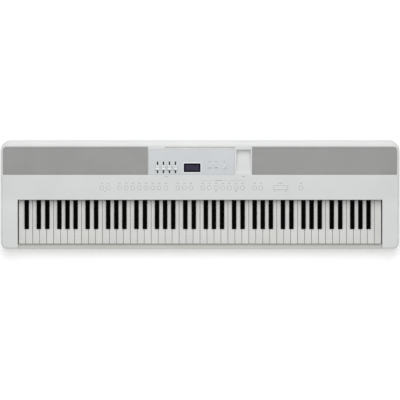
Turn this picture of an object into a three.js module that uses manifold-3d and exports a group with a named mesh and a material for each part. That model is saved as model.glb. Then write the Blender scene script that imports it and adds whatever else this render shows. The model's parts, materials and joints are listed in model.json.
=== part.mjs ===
// A slab digital piano of 88 keys, as an assembly of separate pieces. Millimetres, +X to the
// player's right, +Y to the rear, +Z up. The origin is under the middle of the instrument, on
// the surface that its rubber feet stand on.
import * as THREE from "three";
import { mergeVertices } from "three/addons/utils/BufferGeometryUtils.js";
import Module from "manifold-3d";

const wasm = await Module();
wasm.setup();

// Overall size
const WIDTH = 1340;
const DEPTH = 368;
const HEIGHT = 150;
const FOOT_HEIGHT = 8;
const FOOT_RADIUS = 14;
const FOOT_INSET_X = 70;
const FOOT_INSET_Y = 50;

// Case: an upper moulding on a lower one, both hollow
const WALL = 3;
const SEAM_Z = 46;
const SEAM_GAP = 0.3;
const FRONT_CORNER = 20;
const REAR_CORNER = 36;
const FRONT_EDGE_Z = 92;
const FRONT_ROUND = 9;
const REAR_ROUND = 18;
const DECK_FRONT_Z = 109;
const LIP_Z = 99.5;
const FIT = 0.3;

// Distances from the front edge of the instrument, seen from above
const KEY_FRONT = 17.2;
const DECK_FRONT = 165.5;
const BUTTON_ROW = DECK_FRONT + 40.5;

// The level band behind the deck
const REAR_BAND = 23;
const DECK_REAR = DEPTH - REAR_BAND;

// Keys
const WHITE_PITCH = 23.5;
const WHITE_KEYS = 52;
const KEY_GAP = 1;
const KEY_TOP = 84;
const KEY_BOTTOM = 66;
const WHITE_HEAD = 49;
const BLACK_WIDTH = 13.7;
const BLACK_TOP_WIDTH = 10;
const BLACK_RISE = 12.5;
const BLACK_SLOPE = 7;
const BLACK_CLEARANCE = 0.7;
const KEYWELL_CLEARANCE = 3;
const PIVOT = 245;
const KEY_TAIL = 6;
const SHARP_TAIL = 4;
const COMB_SPINE = 10;
const COMB_SPINE_HEIGHT = 8;

const KEY_TRAVEL_DEG = 2.5;

// Key chassis, a folded frame that the keys pivot on and stop against
const CHASSIS_BASE = 2;
const CHASSIS_FRONT = 24;
const CHASSIS_REAR = 262;
const STOP_WIDTH = 5;
const STOP_CLEARANCE = 0.5;
const PIVOT_WIDTH = 3;
const CONTACT_BOARD = 40;
const CONTACT_BOARD_Y = 130;
const BOARD = 1.6;
const DOME_HEIGHT = 9.5;
const DOME_WIDTH = 12;
const DOME_CLEARANCE = 1.3;

// Key slip
const SLIP_TOP = 72;
const SLIP_DEPTH = 15.6;

// Buttons in the deck
const BUTTON_RADIUS = 6.25;
const BUTTON_CLEARANCE = 0.35;
const BUTTON_PROUD = 1.6;
const BUTTON_CARRIER = 1.2;
const BUTTON_SIDES = 16;
const BUTTON_STRIPS = [
  { name: "button_strip_functions", first: -330, pitch: 21.3, count: 2 },
  { name: "button_strip_voices", first: -270.6, pitch: 22.19, count: 8 },
  { name: "button_strip_song", first: -74.8, pitch: 21.9, count: 3 },
  { name: "button_strip_memory", first: 9.4, pitch: 22.3, count: 7 },
  { name: "button_strip_rhythm", first: 183.7, pitch: 21.2, count: 2 },
];
const POWER_BUTTON_X = 339.4;
const POWER_TRAVEL = 1.5;
const ROCKER_X = 271;
const ROCKER_LENGTH = 50;
const ROCKER_WIDTH = 14;
const ROCKER_HEIGHT = 5;

// Speakers and their grilles
const GRILLE_INNER = 175;
const GRILLE_SIDE_BAND = 7;
const GRILLE_REAR_BAND = 25;
const GRILLE_LENGTH = 93;
const GRILLE_OUTER = WIDTH / 2 - GRILLE_SIDE_BAND;
const GRILLE_REAR = DEPTH - GRILLE_REAR_BAND;
const GRILLE_FRONT = GRILLE_REAR - GRILLE_LENGTH;
const GRILLE_THICKNESS = 2.5;
const GRILLE_CORNER = 12;
const GRILLE_SLOTS = 22;
const GRILLE_SLOT = 2.4;
const GRILLE_RIM = 7;
const RECESS_FLOOR = 2.5;
const SPEAKER_INSET = 200;
const SPEAKER_X = WIDTH / 2 - SPEAKER_INSET;
const SPEAKER_RADIUS = 39;
const SPEAKER_FLANGE = 4;
const SPEAKER_DEPTH = 44;
const SPEAKER_MOUTH = 14;
const MAGNET_RADIUS = 22;

// Control panel
const PANEL_LEFT = -173;
const PANEL_RIGHT = 116;
const PANEL_LENGTH = 85;
const PANEL_REAR_BAND = 34;
const PANEL_REAR = DEPTH - PANEL_REAR_BAND;
const PANEL_FRONT = PANEL_REAR - PANEL_LENGTH;
const PANEL_THICKNESS = 2.5;
const SLIDER_FIRST = -143;
const SLIDER_PITCH = 20.1;
const SLIDERS = 4;
const SLIDER_Y = PANEL_FRONT + 25;
const SLIDER_SLOT = [4.4, 41];
const SLIDER_CAP = [13, 17, 6];
const SLIDER_STEM = [3, 6];
const SLIDER_POT = [10, 48];
const DISPLAY = [57, 30];
const DISPLAY_X = -26.5;
const DISPLAY_Y = PANEL_FRONT + 24;
const MENU_Y = PANEL_FRONT + 26;
const MENU_BUTTONS = [
  { name: "page_back_button", x: 33, size: [12, 8] },
  { name: "page_next_button", x: 54, size: [12, 8] },
  { name: "enter_button", x: 81, size: [13, 13] },
];
const MENU_FLANGE = 1.2;
const PANEL_BOARD_GAP = 0.2;
const PANEL_BOARD_DROP = WALL + FIT + BUTTON_CARRIER + POWER_TRAVEL + PANEL_BOARD_GAP + BOARD / 2;

// Memory-stick recess
const RECESS_LEFT = 122.7;
const RECESS_RIGHT = 171;
const RECESS_LENGTH = 82;
const RECESS_REAR = PANEL_REAR;
const RECESS_FRONT = RECESS_REAR - RECESS_LENGTH;
const RECESS_DROP = 17;
const RECESS_WALL = 2;
const USB_X = 146;
const USB_SHELL = [13.1, 5.7, 17];
const USB_HEIGHT = 9;

// Music rest slot
const REST_SLOT = [236, 6, 14];
const REST_SLOT_Y = DEPTH - 28;
const REST_SLOT_WALL = 2;

// Rear sockets
const JACK_PANEL_WIDTH = 143.7;
const JACK_FIRST_INSET = 154;
const JACK_FIRST = WIDTH / 2 - JACK_FIRST_INSET;
const JACK_PITCH = 23.5;
const JACKS = 3;
const JACK_Z = 29;
const JACK_HOLE = 5.2;
const JACK_BORE = 3.4;
const JACK_BODY = [15, 13, 22];
const INLET_X = JACK_FIRST + JACKS * JACK_PITCH + 0.5;
const INLET_BORE = 2.9;
const INLET_PIN = 1;

const front = -DEPTH / 2;
const rear = DEPTH / 2;
const side = WIDTH / 2;
const keyboardHalf = (WHITE_PITCH * WHITE_KEYS) / 2;
const keywellHalf = keyboardHalf + KEYWELL_CLEARANCE;
const deckAngle = Math.atan2(HEIGHT - DECK_FRONT_Z, DECK_REAR - DECK_FRONT);
const alongDeck = (y) => (y - DECK_FRONT) / Math.cos(deckAngle);

const part = new THREE.Group();

// The deck is flat and slopes up to the rear. Pieces set in it are placed in this group, whose
// origin is on the deck's front edge: X across, Y up the slope and Z out of the deck.
const deck = new THREE.Group();
deck.position.set(0, front + DECK_FRONT, DECK_FRONT_Z);
deck.rotation.x = deckAngle;
deck.updateMatrix();
part.add(deck);

function plastic(color, roughness) {
  return new THREE.MeshStandardMaterial({ color, roughness, metalness: 0 });
}

function metal(color, roughness) {
  return new THREE.MeshStandardMaterial({ color, roughness, metalness: 1 });
}

const caseWhite = plastic(0xd4d5d4, 0.35);
const lowerWhite = plastic(0xbcbdb7, 0.5);
const ivory = plastic(0xd2d2d0, 0.25);
const ebony = plastic(0x141414, 0.45);
const grilleGrey = plastic(0x9a9a9a, 0.6);
const panelGrey = plastic(0xccd1d4, 0.4);
const displayDark = plastic(0x252233, 0.1);
const boardGreen = plastic(0x2f6b45, 0.6);
const steel = metal(0x9a9da0, 0.4);
const rubber = plastic(0x2a2a2a, 0.9);

// Geometry to a solid that can be joined and cut.
function solid(geometry, matrix = new THREE.Matrix4()) {
  const bare = geometry.clone().applyMatrix4(matrix);
  bare.deleteAttribute("normal");
  bare.deleteAttribute("uv");
  const merged = mergeVertices(bare, 1e-4);
  const vertProperties = merged.attributes.position.array;
  const triVerts = new Uint32Array(merged.index.array);
  return new wasm.Manifold(new wasm.Mesh({ numProp: 3, vertProperties, triVerts }));
}

function geometryOf(manifold) {
  const mesh = manifold.getMesh();
  const geometry = new THREE.BufferGeometry();
  geometry.setAttribute("position", new THREE.BufferAttribute(mesh.vertProperties, 3));
  geometry.setIndex(new THREE.BufferAttribute(mesh.triVerts, 1));
  return geometry;
}

function piece(name, manifold, material, parent = part) {
  const mesh = new THREE.Mesh(geometryOf(manifold), material);
  mesh.name = name;
  parent.add(mesh);
}

function move(x, y, z) {
  return new THREE.Matrix4().makeTranslation(x, y, z);
}

// A box from its lowest corner to its highest.
function box(x0, x1, y0, y1, z0, z1) {
  const geometry = new THREE.BoxGeometry(x1 - x0, y1 - y0, z1 - z0);
  return solid(geometry, move((x0 + x1) / 2, (y0 + y1) / 2, (z0 + z1) / 2));
}

// An upright post with its base at z0.
function post(x, y, z0, z1, radius, sides) {
  const geometry = new THREE.CylinderGeometry(radius, radius, z1 - z0, sides);
  return solid(geometry.rotateX(Math.PI / 2), move(x, y, (z0 + z1) / 2));
}

// A flat outline in X and Y, raised from z0 to z1.
function raised(shape, z0, z1, curveSegments = 6) {
  const settings = { depth: z1 - z0, bevelEnabled: false, curveSegments };
  return solid(new THREE.ExtrudeGeometry(shape, settings), move(0, 0, z0));
}

// A side profile, drawn as distance from the front edge and height, carried across from x0 to x1.
function across(profile, x0, x1, curveSegments = 6) {
  const settings = { depth: x1 - x0, bevelEnabled: false, curveSegments };
  const geometry = new THREE.ExtrudeGeometry(profile, settings);
  const turn = new THREE.Matrix4().makeBasis(
    new THREE.Vector3(0, 1, 0),
    new THREE.Vector3(0, 0, 1),
    new THREE.Vector3(1, 0, 0),
  );
  return solid(geometry, move(x0, front, 0).multiply(turn));
}

function polygon(points) {
  return new THREE.Shape(points.map(([x, y]) => new THREE.Vector2(x, y)));
}

// A rectangle with its front and rear corners rounded.
function roundedOutline(x0, x1, y0, y1, frontRadius, rearRadius) {
  const shape = new THREE.Shape();
  shape.moveTo(x0 + frontRadius, y0);
  shape.lineTo(x1 - frontRadius, y0);
  shape.absarc(x1 - frontRadius, y0 + frontRadius, frontRadius, -Math.PI / 2, 0);
  shape.lineTo(x1, y1 - rearRadius);
  shape.absarc(x1 - rearRadius, y1 - rearRadius, rearRadius, 0, Math.PI / 2);
  shape.lineTo(x0 + rearRadius, y1);
  shape.absarc(x0 + rearRadius, y1 - rearRadius, rearRadius, Math.PI / 2, Math.PI);
  shape.lineTo(x0, y0 + frontRadius);
  shape.absarc(x0 + frontRadius, y0 + frontRadius, frontRadius, Math.PI, 1.5 * Math.PI);
  return shape;
}

// The outline of the whole case seen from above, drawn in by an inset.
function caseOutline(inset) {
  const x = side - inset;
  const frontCorner = FRONT_CORNER - inset;
  return roundedOutline(-x, x, front + inset, rear - inset, frontCorner, REAR_CORNER - inset);
}

// The upper case seen from the side, drawn in by an inset: a rounded front edge, the cheeks'
// slow rise beside the keys, the deck's steady slope and a rounded rear edge.
function upperProfile(inset, bottom) {
  const y1 = DEPTH - inset;
  const top = HEIGHT - inset;
  const frontRound = FRONT_ROUND - inset;
  const rearRound = REAR_ROUND - inset;
  const shape = new THREE.Shape();
  shape.moveTo(inset, bottom);
  shape.lineTo(y1, bottom);
  shape.lineTo(y1, HEIGHT - REAR_ROUND);
  shape.absarc(DEPTH - REAR_ROUND, HEIGHT - REAR_ROUND, rearRound, 0, Math.PI / 2);
  shape.lineTo(DECK_REAR, top);
  shape.lineTo(DECK_FRONT, DECK_FRONT_Z - inset);
  shape.lineTo(FRONT_ROUND, FRONT_EDGE_Z - inset);
  shape.absarc(FRONT_ROUND, FRONT_EDGE_Z - FRONT_ROUND, frontRound, Math.PI / 2, Math.PI);
  return shape;
}

// What is above the deck's plane at a given depth under it, for cutting recesses.
function deckSlab(outline, z0, z1) {
  return raised(outline, z0, z1).transform(deck.matrix.elements);
}

function grilleOutline(sign, clearance) {
  const inner = GRILLE_INNER + clearance;
  const outer = GRILLE_OUTER - clearance;
  const y0 = alongDeck(GRILLE_FRONT) + clearance;
  const y1 = alongDeck(GRILLE_REAR) - clearance;
  const corner = GRILLE_CORNER - clearance;
  const shape = new THREE.Shape();
  shape.moveTo(sign * inner, y0);
  shape.lineTo(sign * outer, y0);
  shape.lineTo(sign * outer, y1 - corner);
  const turn = sign > 0 ? [0, Math.PI / 2, false] : [Math.PI, Math.PI / 2, true];
  shape.absarc(sign * (outer - corner), y1 - corner, corner, ...turn);
  shape.lineTo(sign * inner, y1);
  return shape;
}

function panelOutline(clearance) {
  return polygon([
    [PANEL_LEFT + clearance, alongDeck(PANEL_FRONT) + clearance],
    [PANEL_RIGHT - clearance, alongDeck(PANEL_FRONT) + clearance],
    [PANEL_RIGHT - clearance, alongDeck(PANEL_REAR) - clearance],
    [PANEL_LEFT + clearance, alongDeck(PANEL_REAR) - clearance],
  ]);
}

function pillOutline(x, y, length, width) {
  const radius = width / 2;
  const straight = length / 2 - radius;
  const shape = new THREE.Shape();
  shape.absarc(x + straight, y, radius, -Math.PI / 2, Math.PI / 2);
  shape.absarc(x - straight, y, radius, Math.PI / 2, 1.5 * Math.PI);
  return shape;
}

const buttonRow = alongDeck(BUTTON_ROW);
const counted = (count) => [...Array(count).keys()];
const stripPlaces = (strip) => counted(strip.count).map((i) => strip.first + i * strip.pitch);

// The side view of the memory-stick recess: a floor that ramps down from the deck to a rear wall.
function usbRecessProfile(grow) {
  const slope = Math.tan(deckAngle);
  const deckAt = (y) => DECK_FRONT_Z + (y - DECK_FRONT) * slope;
  const floorRear = deckAt(RECESS_REAR) - RECESS_DROP - grow;
  const above = grow > 0 ? -FIT : 30;
  return polygon([
    [RECESS_FRONT - grow, deckAt(RECESS_FRONT - grow) - grow],
    [RECESS_REAR + grow, floorRear],
    [RECESS_REAR + grow, deckAt(RECESS_REAR + grow) + above],
    [RECESS_FRONT - grow, deckAt(RECESS_FRONT - grow) + Math.max(above, -grow / 2)],
  ]);
}

const usbFloorRear =
  DECK_FRONT_Z + (RECESS_REAR - DECK_FRONT) * Math.tan(deckAngle) - RECESS_DROP;
const usbZ = usbFloorRear + USB_HEIGHT;

// The upper case: a hollow moulding with the cheeks, the deck and the upper rear wall in one.
function topCase() {
  const bottom = SEAM_Z + SEAM_GAP;
  const plan = (inset) => raised(caseOutline(inset), 0, HEIGHT + 1);
  const outside = across(upperProfile(0, bottom), -side, side).intersect(plan(0));
  const inside = across(upperProfile(WALL, -1), -side, side).intersect(plan(WALL));
  const wellFront = box(-keywellHalf, keywellHalf, front - 1, front + DECK_FRONT, -1, HEIGHT);
  const wellUnder = box(-keywellHalf, keywellHalf, front, front + DECK_FRONT + WALL + 1, -1, LIP_Z);
  const wellRear = front + DECK_FRONT + WALL;
  const wellWall = keywellHalf + WALL;
  const keptWalls = box(-wellWall, wellWall, front, wellRear, -1, HEIGHT);
  let body = outside.subtract(inside.subtract(keptWalls));
  body = body.subtract(wellFront).subtract(wellUnder);
  for (const sign of [-1, 1]) {
    const pan = deckSlab(grilleOutline(sign, -WALL), -GRILLE_THICKNESS - FIT - RECESS_FLOOR, -1);
    body = body.add(pan.intersect(plan(1)));
    body = body.subtract(deckSlab(grilleOutline(sign, 0), -GRILLE_THICKNESS - FIT, 20));
    const speakerHole = post(sign * SPEAKER_X, speakerRow, -20, 0, SPEAKER_RADIUS - 3, 24);
    body = body.subtract(speakerHole.transform(deck.matrix.elements));
  }
  body = body.subtract(deckSlab(panelOutline(0), -20, 20));
  for (const x of [...BUTTON_STRIPS.flatMap(stripPlaces), POWER_BUTTON_X]) {
    const hole = post(x, buttonRow, -10, 10, BUTTON_RADIUS + BUTTON_CLEARANCE, BUTTON_SIDES);
    body = body.subtract(hole.transform(deck.matrix.elements));
  }
  const rockerHole = pillOutline(ROCKER_X, buttonRow, ROCKER_LENGTH + 1, ROCKER_WIDTH + 1);
  body = body.subtract(deckSlab(rockerHole, -10, 10));
  const recessX0 = RECESS_LEFT - RECESS_WALL;
  const recessX1 = RECESS_RIGHT + RECESS_WALL;
  body = body.add(across(usbRecessProfile(RECESS_WALL), recessX0, recessX1));
  body = body.subtract(across(usbRecessProfile(0), RECESS_LEFT, RECESS_RIGHT));
  const [shellWidth, shellHeight] = USB_SHELL;
  const usbX = shellWidth / 2 + FIT;
  const usbUp = shellHeight / 2 + FIT;
  const usbY = front + RECESS_REAR;
  const [usbLow, usbHigh] = [usbZ - usbUp, usbZ + usbUp];
  body = body.subtract(box(USB_X - usbX, USB_X + usbX, usbY - 1, usbY + 5, usbLow, usbHigh));
  return cutRestSlot(body);
}

// The music rest's slot is a trough that hangs under the deck, open at the top.
function cutRestSlot(body) {
  const [slotLength, slotWidth, slotDepth] = REST_SLOT;
  const slotY = front + REST_SLOT_Y;
  const slotX = slotLength / 2;
  const bottom = HEIGHT - slotDepth;
  const reach = slotWidth / 2;
  const w = REST_SLOT_WALL;
  const [y0, y1] = [slotY - reach, slotY + reach];
  const trough = box(-slotX - w, slotX + w, y0 - w, y1 + w, bottom - w, HEIGHT - WALL);
  return body.add(trough).subtract(box(-slotX, slotX, y0, y1, bottom, HEIGHT + 1));
}

// The lower case: a floor with a front wall, two sides and rounded rear corners, open at the rear.
function bottomCase() {
  const body = raised(caseOutline(0), FOOT_HEIGHT, SEAM_Z);
  const hollow = raised(caseOutline(WALL), FOOT_HEIGHT + WALL, SEAM_Z + 1);
  const rearOpening = side - REAR_CORNER;
  const slot = box(-rearOpening, rearOpening, rear - WALL - 1, rear + 1, FOOT_HEIGHT + WALL, SEAM_Z + 1);
  return body.subtract(hollow).subtract(slot);
}

// The rear wall of the lower case is two plates side by side: a long one, and one with the sockets.
const rearPlateBottom = FOOT_HEIGHT + WALL + FIT;
const rearPlateLeft = -side + REAR_CORNER + FIT;
const jackPanelRight = side - REAR_CORNER - FIT;
const jackPanelLeft = jackPanelRight - JACK_PANEL_WIDTH;

function rearPanel() {
  return box(rearPlateLeft, jackPanelLeft - FIT, rear - WALL, rear, rearPlateBottom, SEAM_Z);
}

const jackPlaces = counted(JACKS).map((i) => JACK_FIRST + i * JACK_PITCH);

// A round bar or bore that runs front to back.
function barAlongY(x, z, y0, y1, radius, sides) {
  const geometry = new THREE.CylinderGeometry(radius, radius, y1 - y0, sides);
  return solid(geometry, move(x, (y0 + y1) / 2, z));
}

function jackPanel() {
  let plate = box(jackPanelLeft, jackPanelRight, rear - WALL, rear, rearPlateBottom, SEAM_Z);
  for (const x of [...jackPlaces, INLET_X]) {
    plate = plate.subtract(barAlongY(x, JACK_Z, rear - WALL - 1, rear + 1, JACK_HOLE, 16));
  }
  return plate;
}

// The socket board: three round sockets and the power inlet with its centre pin on one small board.
function jackBoard() {
  const [bodyWidth, bodyHeight, bodyLength] = JACK_BODY;
  const y1 = rear - WALL - FIT;
  const boardTop = JACK_Z - bodyHeight / 2;
  const inner = jackPanelLeft + WALL;
  const outer = jackPanelRight - WALL;
  let board = box(inner, outer, y1 - bodyLength - 6, y1, boardTop - BOARD, boardTop + FIT);
  for (const x of [...jackPlaces, INLET_X]) {
    const isInlet = x === INLET_X;
    const reach = bodyWidth / 2;
    const body = box(x - reach, x + reach, y1 - bodyLength, y1, boardTop, JACK_Z + bodyHeight / 2);
    const nose = barAlongY(x, JACK_Z, y1 - 1, rear - 0.2, JACK_HOLE - FIT, 16);
    const bore = isInlet ? INLET_BORE : JACK_BORE;
    board = board.add(body).add(nose);
    board = board.subtract(barAlongY(x, JACK_Z, y1 - bodyLength + 3, rear + 1, bore, 12));
    if (isInlet) {
      board = board.add(barAlongY(x, JACK_Z, y1 - bodyLength + 2, rear - 1, INLET_PIN, 8));
    }
  }
  const support = box(inner, outer, y1 - 6, y1 - 3, FOOT_HEIGHT + WALL + FIT, boardTop);
  return board.add(support);
}

// The key slip: the low rail in front of the keys, with a rounded upper edge.
function keySlip() {
  const bottom = SEAM_Z + SEAM_GAP;
  const round = 5;
  const profile = new THREE.Shape();
  profile.moveTo(0, bottom);
  profile.lineTo(SLIP_DEPTH, bottom);
  profile.lineTo(SLIP_DEPTH, SLIP_TOP);
  profile.lineTo(round, SLIP_TOP);
  profile.absarc(round, SLIP_TOP - round, round, Math.PI / 2, Math.PI);
  const rail = across(profile, -keywellHalf + FIT, keywellHalf - FIT);
  const inner = keywellHalf - WALL;
  return rail.subtract(box(-inner, inner, front + WALL, front + SLIP_DEPTH - WALL, 0, SLIP_TOP - WALL));
}

// Speaker grilles: thin plates with a row of narrow slots, set flush in their recesses.
function grille(sign) {
  let plate = raised(grilleOutline(sign, FIT), -GRILLE_THICKNESS, 0);
  const y0 = alongDeck(GRILLE_FRONT) + GRILLE_RIM;
  const y1 = alongDeck(GRILLE_REAR) - GRILLE_RIM;
  const run = GRILLE_OUTER - GRILLE_INNER - 2 * (GRILLE_RIM + GRILLE_CORNER);
  for (let i = 0; i < GRILLE_SLOTS; i++) {
    const along = GRILLE_INNER + GRILLE_RIM + GRILLE_CORNER + (run * i) / (GRILLE_SLOTS - 1);
    const x = sign * along;
    plate = plate.subtract(box(x - GRILLE_SLOT / 2, x + GRILLE_SLOT / 2, y0, y1, -5, 5));
  }
  return plate;
}

// A loudspeaker hung under its recess: flange, flared basket and magnet, with a conical mouth.
const speakerRow = alongDeck((GRILLE_FRONT + GRILLE_REAR) / 2);

function speaker() {
  const outline = [
    [0, -SPEAKER_MOUTH],
    [MAGNET_RADIUS * 0.6, -SPEAKER_MOUTH],
    [SPEAKER_RADIUS - 6, 0],
    [SPEAKER_RADIUS, 0],
    [SPEAKER_RADIUS, -SPEAKER_FLANGE],
    [SPEAKER_RADIUS - 4, -SPEAKER_FLANGE],
    [MAGNET_RADIUS, -SPEAKER_DEPTH * 0.6],
    [MAGNET_RADIUS, -SPEAKER_DEPTH],
    [0, -SPEAKER_DEPTH],
  ];
  const points = outline.map(([r, z]) => new THREE.Vector2(r, z)).reverse();
  return new THREE.LatheGeometry(points, 24).rotateX(Math.PI / 2);
}

function addSpeaker(name, sign) {
  const seat = -GRILLE_THICKNESS - RECESS_FLOOR - 2 * FIT;
  piece(name, solid(speaker(), move(sign * SPEAKER_X, speakerRow, seat)), ebony, deck);
}

// Round deck buttons are moulded in strips: caps that stand out of the deck on a thin carrier.
function buttonStrip(strip) {
  const places = stripPlaces(strip);
  const top = -WALL - FIT;
  const reach = BUTTON_RADIUS + 2;
  const first = places[0] - reach;
  const last = places[places.length - 1] + reach;
  let body = box(first, last, buttonRow - reach, buttonRow + reach, top - BUTTON_CARRIER, top);
  for (const x of places) {
    body = body.add(post(x, buttonRow, top - 0.5, BUTTON_PROUD, BUTTON_RADIUS, BUTTON_SIDES));
  }
  return body;
}

function powerButton() {
  const strip = { first: POWER_BUTTON_X, pitch: 0, count: 1 };
  return buttonStrip(strip);
}

// The transpose rocker: a pill-shaped cap that tips about the middle of its length.
function rocker() {
  const outline = pillOutline(ROCKER_X, buttonRow, ROCKER_LENGTH, ROCKER_WIDTH);
  const cap = raised(outline, BUTTON_PROUD - ROCKER_HEIGHT, BUTTON_PROUD);
  const panelTop = -PANEL_BOARD_DROP + BOARD / 2 + FIT;
  const foot = box(ROCKER_X - 1.5, ROCKER_X + 1.5, buttonRow - 5, buttonRow + 5, panelTop, 0);
  return cap.add(foot);
}

// Control panel: a thin plate flush in the deck, cut for the sliders, display and buttons.
const sliderPlaces = counted(SLIDERS).map((i) => SLIDER_FIRST + i * SLIDER_PITCH);
const sliderRow = alongDeck(SLIDER_Y);
const displayRow = alongDeck(DISPLAY_Y);
const menuRow = alongDeck(MENU_Y);

function cutAt(x, y, [width, length], grow, z0, z1) {
  const halfWidth = width / 2 + grow;
  const halfLength = length / 2 + grow;
  return box(x - halfWidth, x + halfWidth, y - halfLength, y + halfLength, z0, z1);
}

function controlPanel() {
  let plate = raised(panelOutline(FIT), -PANEL_THICKNESS, 0);
  for (const x of sliderPlaces) {
    plate = plate.subtract(cutAt(x, sliderRow, SLIDER_SLOT, 0, -9, 9));
  }
  plate = plate.subtract(cutAt(DISPLAY_X, displayRow, DISPLAY, FIT, -9, 9));
  for (const button of MENU_BUTTONS) {
    plate = plate.subtract(cutAt(button.x, menuRow, button.size, BUTTON_CLEARANCE, -9, 9));
  }
  return plate;
}

function sliderCap(x) {
  const [capWidth, capLength, capHeight] = SLIDER_CAP;
  const [stemWidth, stemLength] = SLIDER_STEM;
  const lift = 0.4;
  const profile = polygon([
    [-capLength / 2, lift],
    [capLength / 2, lift],
    [capLength / 2 - 2, capHeight],
    [1.5, capHeight - 1],
    [-1.5, capHeight - 1],
    [-capLength / 2 + 2, capHeight],
  ]);
  const cap = across(profile, -capWidth / 2, capWidth / 2).translate([x, sliderRow - front, 0]);
  const stemFoot = -PANEL_THICKNESS - FIT;
  const stem = cutAt(x, sliderRow, [stemWidth, stemLength], 0, stemFoot, lift + 1);
  return cap.add(stem);
}

function displayWindow() {
  return cutAt(DISPLAY_X, displayRow, DISPLAY, 0, -PANEL_THICKNESS, -0.2);
}

function displayModule() {
  const top = -PANEL_THICKNESS - FIT;
  const bottom = -PANEL_BOARD_DROP + BOARD / 2 + FIT;
  return cutAt(DISPLAY_X, displayRow, DISPLAY, 4, bottom, top);
}

function menuButton(button) {
  const cap = cutAt(button.x, menuRow, button.size, 0, -PANEL_THICKNESS - 1, 1);
  const flangeTop = -PANEL_THICKNESS - FIT;
  const flange = cutAt(button.x, menuRow, button.size, 1.5, flangeTop - MENU_FLANGE, flangeTop);
  return cap.add(flange);
}

// The panel board under the deck carries the button contacts and the four slide controls.
function panelBoard() {
  const top = -PANEL_BOARD_DROP + BOARD / 2;
  const bottom = top - BOARD;
  const last = POWER_BUTTON_X + 20;
  const frontEdge = buttonRow - 16;
  const wide = box(-350, last, frontEdge, buttonRow + 16, bottom, top);
  const rearReach = box(PANEL_LEFT + 4, PANEL_RIGHT - 4, buttonRow + 15, sliderRow + 26, bottom, top);
  let board = wide.add(rearReach);
  for (const x of sliderPlaces) {
    const potTop = -PANEL_THICKNESS - 2 * FIT;
    board = board.add(cutAt(x, sliderRow, SLIDER_POT, 0, top - 0.5, potTop));
  }
  return board;
}

// The main board stands on the floor of the lower case, with its larger components on it.
function mainBoard() {
  const z = FOOT_HEIGHT + WALL + FIT;
  const y0 = front + CHASSIS_REAR + 10;
  let board = box(150, 400, y0, y0 + 75, z + 4, z + 4 + BOARD);
  for (const x of [160, 270, 380]) {
    board = board.add(box(x - 4, x + 4, y0, y0 + 75, z, z + 4.5));
  }
  board = board.add(box(200, 232, y0 + 20, y0 + 52, z + 5, z + 9));
  board = board.add(box(300, 360, y0 + 40, y0 + 60, z + 5, z + 27));
  return board;
}

// The memory-stick socket behind the recess: a steel shell with the contact tongue in it.
function usbSocket() {
  const [shellWidth, shellHeight, shellLength] = USB_SHELL;
  const y0 = front + RECESS_REAR + FIT;
  const outer = { x: shellWidth / 2, z: shellHeight / 2 };
  let shell = box(USB_X - outer.x, USB_X + outer.x, y0, y0 + shellLength, usbZ - outer.z, usbZ + outer.z);
  const x = outer.x - 0.5;
  const z = outer.z - 0.5;
  shell = shell.subtract(box(USB_X - x, USB_X + x, y0 - 1, y0 + shellLength - 3, usbZ - z, usbZ + z));
  const tongue = box(USB_X - 5.5, USB_X + 5.5, y0 + 1, y0 + shellLength - 2, usbZ + 0.2, usbZ + 2);
  return shell.add(tongue);
}

// Rubber feet under the lower case.
function foot(x, y) {
  return post(x, y, 0, FOOT_HEIGHT - FIT, FOOT_RADIUS, 20);
}

// How far a pressed key's underside drops at a distance from the front edge.
const keyDrop = (y) => (PIVOT - y) * Math.sin((KEY_TRAVEL_DEG * Math.PI) / 180);
const stopTop = KEY_BOTTOM - keyDrop(CHASSIS_FRONT) - STOP_CLEARANCE;
const domeTop = KEY_BOTTOM - keyDrop(CONTACT_BOARD_Y - DOME_WIDTH / 2) - DOME_CLEARANCE;
const contactBoardZ = domeTop - DOME_HEIGHT - BOARD;

// The key chassis: one steel profile with a stop rail, two board ribs and the pivot rail.
function keyChassis() {
  const z0 = FOOT_HEIGHT + WALL + FIT;
  const x = keyboardHalf;
  const rail = (y, width, top) => box(-x, x, front + y - width / 2, front + y + width / 2, z0, top);
  const base = box(-x, x, front + CHASSIS_FRONT, front + CHASSIS_REAR, z0, z0 + CHASSIS_BASE);
  const ribTop = contactBoardZ - FIT;
  const ribReach = CONTACT_BOARD / 2 - 4;
  return base
    .add(rail(CHASSIS_FRONT + STOP_WIDTH / 2, STOP_WIDTH, stopTop))
    .add(rail(CONTACT_BOARD_Y - ribReach, 2, ribTop))
    .add(rail(CONTACT_BOARD_Y + ribReach, 2, ribTop))
    .add(rail(PIVOT, PIVOT_WIDTH, KEY_BOTTOM - FIT));
}

// The contact board under the keys, with its long strip of rubber domes.
function contactBoard() {
  const y = front + CONTACT_BOARD_Y;
  const z = contactBoardZ;
  const x = keyboardHalf - 5;
  const board = box(-x, x, y - CONTACT_BOARD / 2, y + CONTACT_BOARD / 2, z, z + BOARD);
  const reach = DOME_WIDTH / 2;
  return board.add(box(-x, x, y - reach, y + reach, z + BOARD / 2, domeTop));
}

// Keys. Where each sharp sits in its group, so that the naturals' tails share what it leaves.
const slotWidth = BLACK_WIDTH + 2 * BLACK_CLEARANCE;
const C_GROUP = { naturals: 3, sharps: 2 };
const F_GROUP = { naturals: 4, sharps: 3 };

function sharpCentres(group) {
  const tail = (group.naturals * WHITE_PITCH - group.sharps * slotWidth) / group.naturals;
  return counted(group.sharps).map((i) => (i + 1) * tail + (i + 0.5) * slotWidth);
}

// The sharps' places across one octave from its C, each with the natural that it follows.
const octaveSharps = [
  ...sharpCentres(C_GROUP).map((x, i) => ({ after: i, x })),
  ...sharpCentres(F_GROUP).map((x, i) => ({ after: i + 3, x: x + 3 * WHITE_PITCH })),
];

const NOTES = ["c", "d", "e", "f", "g", "a", "b"];
const FIRST_NATURAL = 5;

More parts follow.
